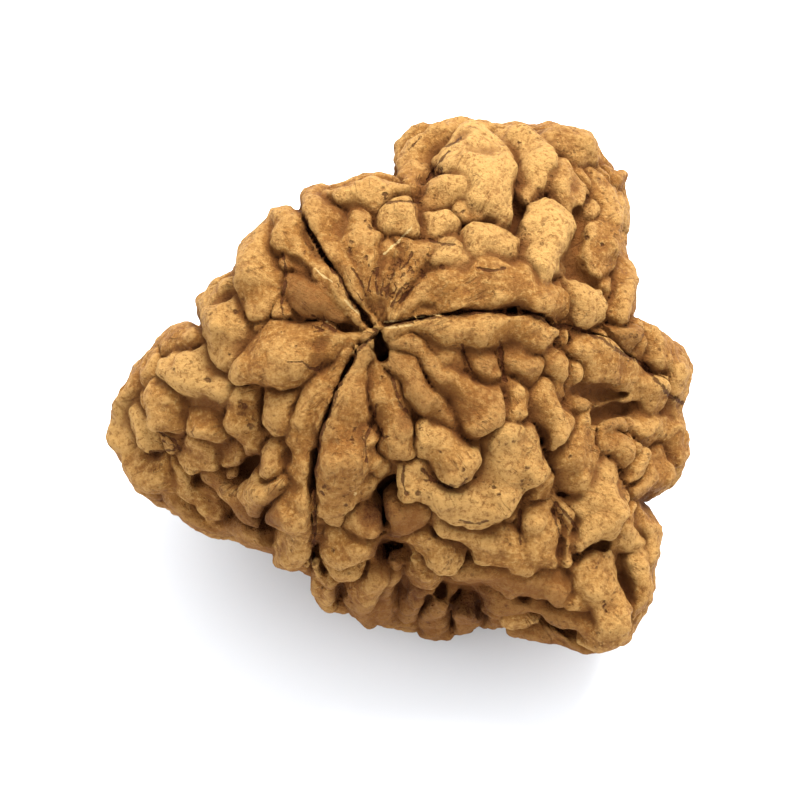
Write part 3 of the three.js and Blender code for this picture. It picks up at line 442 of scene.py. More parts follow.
# The edge of the bead against the floor, as picture positions
OUTLINE = [
    (108, 430), (108, 415), (112, 400), (120, 390), (128, 382), (135, 370), (150, 350), (160, 338),
    (172, 327), (180, 323), (195, 326), (200, 333), (203, 322), (200, 315), (197, 300), (203, 292),
    (213, 281), (235, 275), (238, 262), (245, 243), (268, 223), (272, 210), (290, 207), (302, 215),
    (302, 188), (310, 180), (330, 188), (345, 186), (358, 180), (370, 174), (378, 172), (385, 174),
    (397, 178), (394, 160), (396, 138), (402, 128), (412, 122), (430, 122), (445, 119), (457, 117),
    (480, 120), (500, 126), (520, 124), (540, 125), (550, 122), (565, 119), (580, 122), (590, 132),
    (597, 146), (603, 157), (610, 162), (632, 167), (625, 187), (624, 195), (629, 215), (626, 252),
    (635, 270), (638, 278), (636, 300), (630, 318), (655, 328), (672, 340), (683, 352), (692, 370),
    (688, 390), (682, 402), (680, 412), (690, 440), (690, 455), (680, 480), (665, 490), (640, 500),
    (640, 503), (650, 512), (662, 528), (658, 540), (660, 550), (653, 570), (654, 585), (651, 602),
    (638, 616), (634, 640), (620, 650), (600, 658), (590, 656), (580, 653), (560, 646), (540, 640),
    (520, 640), (505, 632), (490, 624), (480, 630), (460, 641), (440, 646), (418, 641), (410, 629),
    (395, 628), (380, 631), (365, 627), (355, 619), (345, 613), (330, 613), (322, 610), (318, 600),
    (313, 590), (313, 575), (300, 568), (290, 570), (277, 565), (275, 552), (245, 545), (225, 537),
    (210, 537), (200, 533), (190, 526), (180, 516), (170, 508), (155, 504), (145, 497), (135, 487),
    (125, 478), (117, 457), (110, 445),
]

# The three seams from the upper mouth to the rim, as picture positions
SUTURES = {
    "a": [(376, 331), (372, 328), (365, 318), (358, 306), (350, 298), (341, 280), (332, 268),
        (325, 258), (318, 246), (311, 234), (304, 217)],
    "b": [(385, 325), (400, 322), (420, 319), (440, 316), (460, 312), (480, 312), (500, 311),
        (520, 311), (535, 314), (551, 326), (570, 326), (585, 332), (603, 339), (617, 351),
        (640, 362), (655, 378), (668, 395), (683, 403)],
    "c": [(374, 336), (368, 341), (360, 347), (353, 360), (346, 372), (338, 387), (333, 402),
        (327, 417), (322, 432), (318, 450), (315, 470), (314, 490), (315, 510), (315, 530),
        (314, 548)],
}

# The long mouth of the string hole: picture position and radius
MOUTH_SLOT = [(380, 331, 4), (380, 345, 8), (382, 357, 7)]

# Marks on the skin: tone from -1 dark to 1 pale, half width, and picture positions along each
MARKS = [
    (-1, 1.3, [(402, 161), (409, 150), (420, 138)]),
    (-1, 1.3, [(428, 180), (437, 165), (449, 152)]),
    (-1, 1.3, [(436, 178), (445, 173)]),
    (-1, 1.3, [(445, 148), (462, 138)]),
    (-1, 1.2, [(430, 240), (442, 244), (455, 245)]),
    (-1, 1.0, [(385, 203), (400, 201), (420, 203)]),
    (-1, 1.3, [(478, 268), (492, 271), (505, 268)]),
    (-1, 1.3, [(283, 255), (286, 270), (285, 285), (281, 305), (283, 315)]),
    (-1, 1.2, [(285, 362), (303, 362), (309, 368), (320, 371), (322, 364)]),
    (-1, 1.5, [(462, 345), (466, 360), (472, 372)]),
    (-1, 2.0, [(500, 340), (501, 356), (503, 372), (505, 380)]),
    (-1, 1.4, [(460, 520), (475, 524), (485, 522), (490, 520)]),
    (-1, 1.5, [(553, 510), (557, 525), (560, 535)]),
    (-1, 1.5, [(555, 503), (570, 518), (578, 530)]),
    (-1, 1.4, [(520, 510), (519, 528), (521, 545)]),
    (-1, 1.4, [(155, 430), (175, 440), (180, 450)]),
    (-1, 1.2, [(120, 455), (150, 452), (178, 450)]),
    (-1, 1.6, [(388, 368), (395, 385), (400, 405), (407, 412)]),
    (-1, 1.4, [(367, 462), (365, 440), (372, 425), (376, 405)]),
    (-1, 1.5, [(378, 432), (384, 438), (390, 436)]),
    (-1, 1.5, [(423, 470), (433, 480), (447, 486), (460, 486), (467, 478)]),
    (-1, 1.3, [(404, 466), (402, 480), (406, 494)]),
    (-1, 1.8, [(335, 330), (325, 322)]),
    (-1, 1.1, [(391, 307), (398, 294), (404, 286)]),
    (-1, 1.0, [(400, 303), (410, 290), (420, 282)]),
    (-1, 1.1, [(386, 298), (389, 284), (394, 272)]),
    (-1, 1.0, [(378, 296), (376, 280), (378, 268)]),
    (-1, 1.2, [(400, 270), (408, 262), (412, 252)]),
    (-1, 1.0, [(366, 296), (360, 280), (352, 268)]),
    (-1, 1.2, [(322, 320), (312, 316)]),
    (-1, 1.2, [(325, 330), (314, 332)]),
    (1, 1.0, [(385, 322), (397, 321), (415, 318), (440, 315)]),
    (1, 1.0, [(385, 328), (398, 327), (409, 325)]),
    (1, 0.9, [(315, 268), (323, 276), (333, 282)]),
    (1, 0.9, [(412, 228), (396, 243), (384, 254)]),
    (1, 0.8, [(413, 225), (398, 243)]),
    (1, 0.9, [(345, 300), (352, 308), (359, 314)]),
    (1, 1.0, [(326, 322), (334, 327)]),
    (1, 1.6, [(355, 494)]),
]

# Patches of painted shade, which redden and darken the recesses and the lower tier where shadow falls, and
# of painted light, which make some lit lobes paler: picture position, radius and shift of tone
SHADE_AND_LIGHT_PATCHES = [
    (335, 326, 12, -1.2),
    (318, 322, 10, -0.6),
    (345, 450, 60, -0.1),
    (285, 358, 34, -0.2),
    (520, 590, 60, -0.2),
    (395, 605, 80, -0.4),
    (374, 512, 20, -2.0),
    (405, 518, 24, -0.4),
    (252, 462, 15, -1.6),
    (236, 476, 14, -1.0),
    (264, 520, 22, -1.7),
    (238, 516, 20, -1.1),
    (276, 495, 12, -1.0),
    (215, 480, 16, -0.7),
    (318, 540, 12, -1.4),
    (388, 548, 18, -1.2),
    (372, 430, 12, -0.8),
    (408, 420, 14, -1.0),
    (390, 555, 26, -1.5),
    (475, 604, 26, -1.2),
    (415, 590, 20, -1.0),
    (338, 592, 14, -0.9),
    (590, 395, 24, -0.6),
    (620, 425, 24, -0.4),
    (130, 425, 40, 0.5),
    (200, 376, 30, 0.2),
    (258, 262, 36, 0.25),
    (475, 168, 48, 0.3),
    (605, 225, 44, 0.4),
    (495, 290, 50, 0.3),
    (455, 500, 40, 0.4),
    (665, 400, 55, 0.4),
    (645, 560, 40, 0.5),
    (603, 610, 34, 0.25),
]

# Small dark pits: picture position and radius
PITS = [
    (440, 268, 3), (352, 243, 2), (350, 252, 2), (366, 222, 2), (371, 227, 2), (385, 195, 2), (473, 205, 3),
    (463, 212, 2), (517, 165, 2), (519, 142, 2), (588, 197, 2), (600, 245, 2), (587, 238, 2), (194, 363, 2),
    (175, 370, 2), (208, 379, 2), (214, 383, 2), (230, 354, 2), (237, 312, 2), (245, 405, 4), (250, 427, 4),
    (325, 487, 2), (347, 505, 2), (333, 550, 2), (603, 602, 2), (605, 612, 2), (570, 606, 2), (378, 387, 2),
    (398, 262, 3), (392, 268, 2), (404, 278, 3), (396, 282, 2), (412, 272, 2), (388, 276, 2), (402, 292, 2),
    (384, 290, 2), (392, 298, 2), (408, 284, 2), (418, 268, 2), (372, 272, 2), (366, 258, 2), (424, 276, 2),
    (429, 256, 2), (352, 440, 2), (356, 430, 2), (430, 495, 3), (424, 488, 2), (418, 493, 2), (494, 485, 3),
    (498, 494, 2), (525, 470, 3), (522, 488, 3), (440, 452, 2), (462, 470, 2), (568, 458, 2), (512, 440, 2),
]

# Hollows between the ridges: depth below the body, picture position and radius
HOLLOWS = {
    "crown_pit": (0.5, [(326, 326, 4), (340, 329, 6), (356, 328, 4)]),
    "triangle": (2.6, [(396, 472, 9), (386, 496, 18), (372, 522, 16)]),
    "top_cavity": (1.0, [(463, 229, 9), (478, 228, 10), (490, 228, 8)]),
    "top_cleft": (0.7, [(513, 180, 4), (513, 200, 7), (519, 212, 10), (512, 232, 9)]),
    "column_cleft": (0.3, [(576, 208, 7), (581, 222, 8), (578, 240, 8), (570, 258, 9), (576, 276, 10),
        (592, 284, 9)]),
    "right_dark": (0.3, [(580, 390, 10), (600, 394, 9), (622, 392, 7)]),
    "right_line": (0.6, [(592, 418, 8), (615, 410, 7), (645, 410, 6)]),
    "right_shade": (0.5, [(618, 437, 10)]),
    "left_dark": (1.1, [(256, 458, 8), (248, 468, 9), (238, 482, 7)]),
    "left_dark_thin": (0.8, [(262, 392, 6), (267, 412, 6), (263, 430, 6)]),
    "stub_dark": (1.3, [(264, 507, 9), (270, 522, 10), (266, 538, 9)]),
    "stub_under": (0.7, [(240, 516, 9)]),
    "ring_dark": (0.6, [(198, 481, 10)]),
    "flank_gap": (1.1, [(318, 530, 8), (315, 550, 10)]),
    "low_dark": (2.0, [(386, 549, 13), (402, 550, 12)]),
    "low_dark_left": (0.8, [(376, 568, 8)]),
    "bottom_dark": (1.6, [(446, 592, 12), (468, 600, 14), (484, 612, 10)]),
    "bottom_valley_one": (0.9, [(402, 582, 7), (395, 600, 5)]),
    "bottom_valley_two": (0.9, [(426, 598, 6), (419, 614, 5)]),
    "bottom_valley_three": (1.0, [(453, 610, 6), (450, 622, 5)]),
    "slope_dark": (0.7, [(437, 532, 9), (465, 556, 8), (500, 566, 7), (525, 577, 7), (552, 579, 6)]),
    "nose_hollow": (0.4, [(588, 546, 8), (602, 544, 9)]),
    "edge_cleft": (1.0, [(622, 553, 9), (624, 578, 11), (632, 600, 9)]),
    "pit_hollow": (0.6, [(561, 490, 10)]),
    "bump_cleft": (0.6, [(534, 427, 5), (541, 442, 6)]),
    "diagonal_gap": (0.8, [(414, 368, 3), (432, 390, 4), (450, 408, 5), (464, 428, 5)]),
    "curl_gap": (0.9, [(404, 412, 5), (416, 420, 6)]),
    "egg_gap": (0.7, [(414, 430, 3), (412, 446, 5)]),
    "band_dark": (0.6, [(520, 594, 6), (545, 619, 6), (575, 634, 6)]),
    "frame_hole": (0.5, [(321, 562, 5), (325, 570, 6)]),
    "frame_hole_low": (0.5, [(342, 588, 7), (336, 598, 7)]),
}

RIGHT = np.array([1.0, 0.0, 0.0])
UP = np.array([0.0, math.sin(SIGHT_ELEVATION), math.cos(SIGHT_ELEVATION)])
TOWARD = np.array([0.0, -math.cos(SIGHT_ELEVATION), math.sin(SIGHT_ELEVATION)])
EYE = REACH * TOWARD


def place(px, py, depth):
    """The point that shows at a picture position, at a depth below the upper mouth."""
    reach = REACH + depth
    across = (px - PICTURE_MIDDLE) / FOCAL_LENGTH_PX * reach
    upward = (PICTURE_MIDDLE - py) / FOCAL_LENGTH_PX * reach
    return across * RIGHT + upward * UP - depth * TOWARD


MIDDLE = place(*BODY_MIDDLE)
FLAT_SPOT = MIDDLE + np.array(TO_FLAT_SPOT)


def smooth_min(a, b, blend):
    """The smaller of two distances, with a rounded join where they are nearly equal."""
    overlap = np.maximum(blend - np.abs(a - b), 0) / blend
    return np.minimum(a, b) - overlap * overlap * blend / 4


def smooth_max(a, b, blend):
    return -smooth_min(-a, -b, blend)


def cone_distance(points, cone):
    """Distance to a cone with round ends, the solid swept by a ball from one end to the other."""
    start, end, start_radius, end_radius = cone
    axis = end - start
    rel = points - start
    along = np.clip(rel @ axis / max(float(axis @ axis), TINY), 0, 1)
    rel = rel - along[..., None] * axis
    away = np.sqrt(np.einsum("...k,...k->...", rel, rel))
    return away - start_radius - along * (end_radius - start_radius)


def pairs_of(items):
    """Neighbours in a list; a single item is its own neighbour."""
    looped = items * 2 if len(items) == 1 else items
    return list(zip(looped, looped[1:]))


def grow_body():
    """The mounds and the chains behind them, as cones."""
    cones = []
    for px, py, front, radius in MOUNDS.values():
        middle = place(px, py, front + radius)
        cones.append((middle, middle, radius, radius))
    for chain in BODY.values():
        for a, b in pairs_of(chain):
            cones.append((place(*a[:3]), place(*b[:3]), a[3], b[3]))
    return cones


body_cones = grow_body()
heel_rise = math.sqrt(HEEL_RADIUS ** 2 - FLAT_SPOT_RADIUS ** 2)
heel_middle = FLAT_SPOT + np.array([0, 0, heel_rise])
heel = (heel_middle, heel_middle, HEEL_RADIUS, HEEL_RADIUS)


def body_distance(points):
    value = np.full(points.shape[:-1], FAR)
    for cone in body_cones:
        value = smooth_min(value, cone_distance(points, cone), MOUND_BLEND)
    return value


def depths_on_body(positions):
    """Depth at which each sight line meets the body, or comes nearest to it."""
    sights = np.array([place(px, py, 0) - EYE for px, py in positions]) / REACH
    reach = np.full(len(positions), REACH + WALK_START)
    nearest = np.full(len(positions), FAR)
    nearest_reach = reach.copy()
    for _ in range(WALK_STEPS):
        gap = body_distance(EYE + reach[:, None] * sights)
        nearer = gap < nearest
        nearest = np.where(nearer, gap, nearest)
        nearest_reach = np.where(nearer, reach, nearest_reach)
        step = np.maximum(gap * WALK_SHARE, WALK_LEAST)
        reach = reach + np.where(nearest < WALK_ARRIVED, 0, step)
    return nearest_reach - REACH


def picture_position(points):
    """Where points show in the picture, and the size of a pixel there in mm."""
    reach = REACH - points @ TOWARD
    px = PICTURE_MIDDLE + points @ RIGHT / reach * FOCAL_LENGTH_PX
    py = PICTURE_MIDDLE - points @ UP / reach * FOCAL_LENGTH_PX
    return px, py, reach / FOCAL_LENGTH_PX


def distances_in_outline():
    """Distance in pixels from the outline over the whole picture; negative outside it."""
    row = np.arange(0, PICTURE_SIZE + OUTLINE_STEP, OUTLINE_STEP, float)
    px, py = np.meshgrid(row, row, indexing="ij")
    spots = np.stack([px, py], -1)
    nearest = np.full(px.shape, float(PICTURE_SIZE))
    inside = np.zeros(px.shape, bool)
    for a, b in zip(OUTLINE, OUTLINE[1:] + OUTLINE[:1]):
        a, b = np.array(a, float), np.array(b, float)
        along = np.clip((spots - a) @ (b - a) / ((b - a) @ (b - a)), 0, 1)
        nearest = np.minimum(nearest, np.linalg.norm(spots - a - along[..., None] * (b - a), axis=-1))
        crosses = (a[1] > py) != (b[1] > py)
        if a[1] != b[1]:
            inside ^= crosses & (px < a[0] + (py - a[1]) * (b[0] - a[0]) / (b[1] - a[1]))
    return np.where(inside, nearest, -nearest)


outline_distances = distances_in_outline()


def room_in_outline(points):
    """How far the points show inside the outline, in mm; negative outside it."""
    px, py, pixel = picture_position(points)
    at = np.clip(np.stack([px, py], -1) / OUTLINE_STEP, 0, len(outline_distances) - 1 - JUST_INSIDE)
    cell = at.astype(int)
    part = at - cell
    room = np.zeros(px.shape)
    for corner in np.ndindex(2, 2):
        weight = np.prod(np.where(corner, part, 1 - part), axis=-1)
        room += weight * outline_distances[tuple(np.moveaxis(cell + corner, -1, 0))]
    return room * pixel


def lay_out(paths):
    """For each path of (px, py, radius px): its points' depths on the body."""
    depths = depths_on_body([spot[:2] for path in paths for spot in path])
    laid = []
    used = 0
    for path in paths:
        laid.append([(*spot, depths[used + k]) for k, spot in enumerate(path)])
        used += len(path)
    return laid


def grow_ridges():
    """The described ridges as cones, with their tones."""
    paths = []
    laid = lay_out([path for _, _, path in RIDGES.values()])
    for (rise, tone, _), path in zip(RIDGES.values(), laid):
        crests = np.array([place(px, py, depth - rise) for px, py, _, depth in path])
        radii = np.array([spot[2] for spot in path]) * (REACH - crests @ TOWARD) / FOCAL_LENGTH_PX
        outward = body_normals(crests)
        middles = crests - outward * radii[:, None] * (RIDGE_SPREAD - 1)
        cones = []
        for depth in (0, ROOT_DEPTH):
            spots = list(zip(middles - outward * depth, radii * RIDGE_SPREAD))
            cones += [(a, b, ra, rb) for (a, ra), (b, rb) in pairs_of(spots)]
        paths.append((cones, tone))
    return paths


def scatter(index, salt):
    """Repeatable numbers from 0 to 1."""
    wave = np.sin(index * SCATTER_PER_INDEX + salt * SCATTER_PER_SALT) * SCATTER_SPREAD
    return wave - np.floor(wave)


def spiral_directions(count):
    """Directions spread evenly over a sphere, along a spiral from pole to pole."""
    index = np.arange(count)
    golden_angle = math.pi * (3 - math.sqrt(5))
    height = 1 - (2 * index + 1) / count
    ring = np.sqrt(1 - height * height)
    return np.stack([ring * np.cos(index * golden_angle), ring * np.sin(index * golden_angle), height], 1)


def body_points_along(directions):
    """Where straight lines from the body's middle leave the body."""
    reach = np.full(len(directions), OUT_OF_BODY)
    for _ in range(WALK_STEPS):
        gap = body_distance(MIDDLE + reach[:, None] * directions)
        reach = reach - np.maximum(gap, 0) * INWARD_SHARE
    return MIDDLE + reach[:, None] * directions


def body_normals(points):
    """Directions straight out of the body."""
    sides = NORMAL_STEP * np.eye(3)
    slope = np.stack([body_distance(points + side) - body_distance(points - side) for side in sides], -1)
    return slope / np.linalg.norm(slope, axis=-1, keepdims=True)


def grow_fillers(ridges, hollows):
    """Tubercles that run from spot to spot wherever there is still room between the ridges."""
    index = np.arange(FILL_SPOTS)
    spots = body_points_along(spiral_directions(FILL_SPOTS))
    normals = body_normals(spots)
    taken = [cone for cones, _ in ridges for cone in cones] + hollows
    room = np.min([cone_distance(spots, cone) for cone in taken], 0)
    limb_room = room_in_outline(spots)
    slant = np.maximum(np.sqrt(np.maximum(1 - (normals @ TOWARD) ** 2, 0)), LEAST_SLANT)
    appeal = LEAST_APPEAL + scatter(index, APPEAL_SALT)

    def chain_from(first, radius, size):
        chain = [first]
        links = 1 + int(LONGEST_FILL * scatter(first, LINKS_SALT)) if size > LONG_FILL_RADIUS else 1
        from_first = np.linalg.norm(spots - spots[first], axis=1)
        for _ in range(links):
            away = np.linalg.norm(spots - spots[chain[-1]], axis=1)
            fits = (away > LINK_SHORTEST * radius) & (away < LINK_LONGEST * radius)
            fits &= (room > ROOM_TO_GO_ON * size) & (from_first > LINK_SHORTEST * radius * len(chain))
            if not fits.any():
                break
            chain.append(int(np.argmax(np.where(fits, room * appeal, -1))))
        return chain

    def end_at(spot, radius):
        size = radius * (NARROWEST_END + END_RANGE * scatter(spot, END_SALT))
        sink = max(FILL_SINK, (size - limb_room[spot]) / slant[spot])
        sink += size * (RIDGE_SPREAD - 1)
        return spots[spot] - normals[spot] * sink, size * RIDGE_SPREAD, sink

    fillers = []
    for size in FILL_RADII:
        for turn in range(FILL_SPOTS):
            first = (turn * FILL_STRIDE) % FILL_SPOTS
            if room[first] < ROOM_TO_START * size:
                continue
            radius = size * (NARROWEST_FILL + FILL_RANGE * scatter(first, WIDTH_SALT))
            tone = FILL_TONE * (2 * scatter(first, TONE_SALT) - 1)
            cones = []
            for one, two in pairs_of(chain_from(first, radius, size)):
                a, ra, sink_a = end_at(one, radius)
                b, rb, sink_b = end_at(two, radius)
                room = np.minimum(room, cone_distance(spots, (spots[one], spots[two], radius, radius)))
                if max(sink_a, sink_b) < DEEPEST_SINK + size:
                    cones.append((a, b, ra, rb))
            fillers.append((cones, tone))
    return fillers


class Grid:
    """A block of voxels with one value at each corner."""

    def __init__(self, low, high):
        self.low = low
        self.count = np.ceil((high - low) / VOXEL).astype(int)
        self.axes = [low[k] + VOXEL * np.arange(self.count[k]) for k in range(3)]
        self.warp = self.make_warp()

    def make_warp(self):
        """A slow wander of the points, so that no ridge stays a perfect tube."""
        points = np.stack(np.meshgrid(*self.axes, indexing="ij"), -1).astype(np.float32)
        warp = np.zeros_like(points)
        for wave in range(WARP_WAVES):
            way = np.array([scatter(wave, salt) for salt in WARP_WAY_SALTS]) - 0.5
            length = WARP_LONGEST * (1 - WARP_SHORTENING * wave / WARP_WAVES)
            way = (way / np.linalg.norm(way) * 2 * math.pi / length).astype(np.float32)
            push = np.array([scatter(wave, salt) for salt in WARP_PUSH_SALTS]) - 0.5
            push = (push / np.linalg.norm(push) * WARP_PUSH).astype(np.float32)
            phase = np.float32(2 * math.pi * scatter(wave, WARP_PHASE_SALT))
            warp += np.sin(points @ way + phase)[..., None] * push
        return warp

    def depths(self):
        """How far each corner lies behind the upper mouth, along the sight line."""
        along = [-self.axes[k] * TOWARD[k] for k in range(3)]
        return along[0][:, None, None] + along[1][None, :, None] + along[2][None, None, :]

    def around(self, corners, margin):
        """The part of the grid near some points: its slices and its points."""
        low = np.clip(((np.min(corners, 0) - margin - self.low) / VOXEL).astype(int), 0, self.count - 1)
        high = np.clip(((np.max(corners, 0) + margin - self.low) / VOXEL).astype(int) + 2, 1, self.count)
        part = tuple(slice(low[k], high[k]) for k in range(3))
        points = np.stack(np.meshgrid(*[self.axes[k][part[k]] for k in range(3)], indexing="ij"), -1)
        return part, points.astype(np.float32)

    def around_cone(self, cone, margin):
        return self.around(cone[:2], max(cone[2:]) + margin)

    def unite(self, values, cones, blend, margin):
        for cone in cones:
            part, points = self.around_cone(cone, margin)
            values[part] = smooth_min(values[part], cone_distance(points, cone), blend)

    def cut(self, values, cones, blend):
        for cone in cones:
            part, points = self.around_cone(cone, CUT_MARGIN_PER_BLEND * blend + CUT_MARGIN)
            values[part] = smooth_max(values[part], -cone_distance(points, cone), blend)

    def sample(self, values, points):
        """Values between the corners, blended from the eight around each point."""
        at = (points - self.low) / VOXEL
        cell = np.clip(at.astype(int), 0, self.count - 2)
        part = at - cell
        result = np.zeros(len(points))
        for corner in np.ndindex(2, 2, 2):
            weight = np.prod(np.where(corner, part, 1 - part), axis=1)
            result += weight * values[tuple((cell + corner).T)]
        return result


def seam_distance(points, sheet):
    """Distance to a thin wedge that stands in the body, along a seam and inward from it."""
    corner, along, inward = sheet
    rel = points - corner
    forward = np.clip(rel @ along / float(along @ along), 0, 1)
    down = np.clip(rel @ inward / float(inward @ inward), 0, 1)
    rel = rel - forward[..., None] * along - down[..., None] * inward
    return np.sqrt(np.einsum("...k,...k->...", rel, rel)) - SEAM_WIDTH + SEAM_NARROWING * down


def seam_spots():
    """Each seam as points on the body, from the upper mouth over the rim and on to the lower mouth."""
    upward = (place(*UPPER_MOUTH) - MIDDLE) / np.linalg.norm(place(*UPPER_MOUTH) - MIDDLE)
    paths = []
    for path in lay_out([[(px, py, 0) for px, py in path] for path in SUTURES.values()]):
        spots = np.array([place(px, py, depth) for px, py, _, depth in path])
        last = (spots[-1] - MIDDLE) / np.linalg.norm(spots[-1] - MIDDLE)
        turn = math.acos(float(-upward @ last))
        hidden = []
        for part in np.linspace(0, 1, HIDDEN_SEAM_STEPS)[1:]:
            way = math.sin((1 - part) * turn) * last - math.sin(part * turn) * upward
            hidden.append(way / math.sin(turn))
        paths.append(np.concatenate([spots, body_points_along(np.array(hidden))]))
    return paths


def seam_sheets():
    sheets = []
    for depth, spots in zip(SEAM_DEPTHS.values(), seam_spots()):
        inward = -body_normals(spots)
        for k in range(len(spots) - 1):
            corner = spots[k] - SEAM_RISE * inward[k]
            sheets.append((corner, spots[k + 1] - spots[k], (SEAM_RISE + depth) * inward[k]))
    return sheets


def hollow_cones():
    """Each hollow as cones at several depths, from above the skin down to its bottom."""
    cones = []
    laid = lay_out([path for _, path in HOLLOWS.values()])
    for (sink, _), path in zip(HOLLOWS.values(), laid):
        for part in np.linspace(0, 1, HOLLOW_STEPS):
            balls = []
            for px, py, radius_px, depth in path:
                level = depth - HOLLOW_RISE + part * (HOLLOW_RISE + sink)
                radius = radius_px * (1 - (1 - HOLLOW_TAPER) * part) * (REACH + level) / FOCAL_LENGTH_PX
                balls.append((place(px, py, level), radius))
            cones += [(a, b, ra, rb) for (a, ra), (b, rb) in pairs_of(balls)]
    return cones


def grow_field():
    """The bead's field on a grid, negative inside, and the tone of the nearest ridge."""
    ridges = grow_ridges()
    hollows = hollow_cones()
    toned = ridges + grow_fillers(ridges, hollows)
    ends = [(cone[k], cone[k + 2]) for cones, _ in toned for cone in cones for k in (0, 1)]
    low = np.min([point - radius for point, radius in ends], 0) - GRID_MARGIN
    high = np.max([point + radius for point, radius in ends], 0) + GRID_MARGIN
    grid = Grid(low, high)
    body = np.full(tuple(grid.count), FAR, np.float32)
    grid.unite(body, body_cones, MOUND_BLEND, BODY_MARGIN)
    grid.unite(body, [heel], MOUND_BLEND, BODY_MARGIN)
    first = np.full(tuple(grid.count), FAR, np.float32)
    second = first.copy()
    tones = np.zeros(tuple(grid.count), np.float32)
    for cones, tone in toned:
        if not cones:
            continue
        widest = max(max(cone[2:]) for cone in cones)
        part, points = grid.around([end for cone in cones for end in cone[:2]], widest + RIDGE_MARGIN)
        points += grid.warp[part]
        distance = cone_distance(points, cones[0])
        for cone in cones[1:]:
            distance = smooth_min(distance, cone_distance(points, cone), RIDGE_BLEND)
        nearer = distance < first[part]
        tones[part] = np.where(nearer, tone, tones[part])
        second[part] = np.where(nearer, first[part], np.minimum(second[part], distance))
        first[part] = np.minimum(first[part], distance)
    softness = np.clip((grid.depths() - SOFT_FROM) / (SOFT_TO - SOFT_FROM), 0, 1).astype(np.float32)
    between = second - first
    closeness = np.clip(1 - between / CREASE_WIDTH, 0, 1) * (1 - (1 - SOFT_CREASE) * softness)
    first = smooth_min(first, second, MERGE_NEAR + (MERGE_FAR - MERGE_NEAR) * softness)
    sunk = np.clip(1 - between / CELL_WIDTH, 0, 1)
    cells = body - CELL_RISE + CELL_DEPTH * (1 - np.sqrt(1 - sunk * sunk))
    grid.cut(cells, hollows, HOLLOW_BLEND)
    field = smooth_min(cells, first + CREASE_DEPTH * closeness, ROOT_BLEND)
    for sheet in seam_sheets():
        corner, along, inward = sheet
        corners = [corner, corner + along, corner + inward, corner + along + inward]
        part, points = grid.around(corners, SEAM_MARGIN)
        field[part] = smooth_max(field[part], -seam_distance(points, sheet), SUTURE_BLEND)
    slot = []
    for depth in np.linspace(*SLOT_DEPTHS, SLOT_STEPS):
        ends = [(place(px, py, depth), radius_px / PIXELS_PER_MM) for px, py, radius_px in MOUTH_SLOT]
        slot += [(a, b, ra, rb) for (a, ra), (b, rb) in pairs_of(ends)]
    grid.cut(field, slot, SUTURE_BLEND)
    mouth = place(*UPPER_MOUTH)
    grid.cut(field, [(mouth, 2 * MIDDLE - mouth, STRING_HOLE_RADIUS, STRING_HOLE_RADIUS)], SUTURE_BLEND)
    near_skin = np.nonzero(np.abs(field) < TRIM_REACH)
    points = np.stack([grid.axes[k][near_skin[k]] for k in range(3)], -1)
    outside = TRIM_OFFSET - room_in_outline(points)
    field[near_skin] = smooth_max(field[near_skin], outside, TRIM_BLEND)
    field = np.maximum(field, FLAT_SPOT[2] - grid.axes[2])
    return grid, field, tones, closeness


def surface_of(grid, field):
    """Corners and four-sided faces of the surface where the field is zero."""
    inside = field < 0
    stride = np.array([grid.count[1] * grid.count[2], grid.count[2], 1])
    cells = []
    crossings = []
    faces = []
    for axis in range(3):
        step = np.eye(3, dtype=int)[axis]
        side = np.eye(3, dtype=int)[(axis + 1) % 3]
        other = np.eye(3, dtype=int)[(axis + 2) % 3]
        ahead = [slice(None)] * 3
        behind = [slice(None)] * 3
        ahead[axis] = slice(1, None)
        behind[axis] = slice(0, -1)
        start = np.argwhere(inside[tuple(behind)] != inside[tuple(ahead)])
        here = field[tuple(start.T)]
        there = field[tuple((start + step).T)]
        crossing = start + (here / (here - there))[:, None] * step
        around = [shifted @ stride for shifted in (start - side - other, start - other, start, start - side)]
        face = np.stack(around, 1)
        face[here > 0] = face[here > 0][:, ::-1]
        faces.append(face)
        for corner in around:
            cells.append(corner)
            crossings.append(crossing)
    cells = np.concatenate(cells)
    crossings = np.concatenate(crossings)
    used, which = np.unique(cells, return_inverse=True)
    count = np.bincount(which)
    corners = np.stack([np.bincount(which, weights=crossings[:, k]) / count for k in range(3)], 1)
    faces = np.searchsorted(used, np.concatenate(faces))
    return grid.low + VOXEL * corners, faces


def blurred(values, half):
    """Mean over a cube of voxels around each corner."""
    for axis in range(3):
        total = np.cumsum(values, axis=axis, dtype=np.float32)
        last = values.shape[axis] - 1
        high = np.clip(np.arange(last + 1) + half, 0, last)
        low = np.clip(np.arange(last + 1) - half - 1, 0, last)
        values = (np.take(total, high, axis) - np.take(total, low, axis)) / (2 * half + 1)
    return values


def mesh_from(name, corners, faces):
    """A mesh of faces that all have the same number of corners."""
    mesh = bpy.data.meshes.new(name)
    mesh.vertices.add(len(corners))
    mesh.vertices.foreach_set("co", np.asarray(corners, np.float32).ravel())
    mesh.loops.add(faces.size)
    mesh.loops.foreach_set("vertex_index", faces.astype(np.int32).ravel())
    mesh.polygons.add(len(faces))
    mesh.polygons.foreach_set("loop_start", np.arange(0, faces.size, faces.shape[1], dtype=np.int32))
    mesh.update(calc_edges=True)
    mesh.validate()
    return mesh


def corners_of(mesh):
    corners = np.empty(3 * len(mesh.vertices), np.float32)
    mesh.vertices.foreach_get("co", corners)
    return corners.reshape(-1, 3)


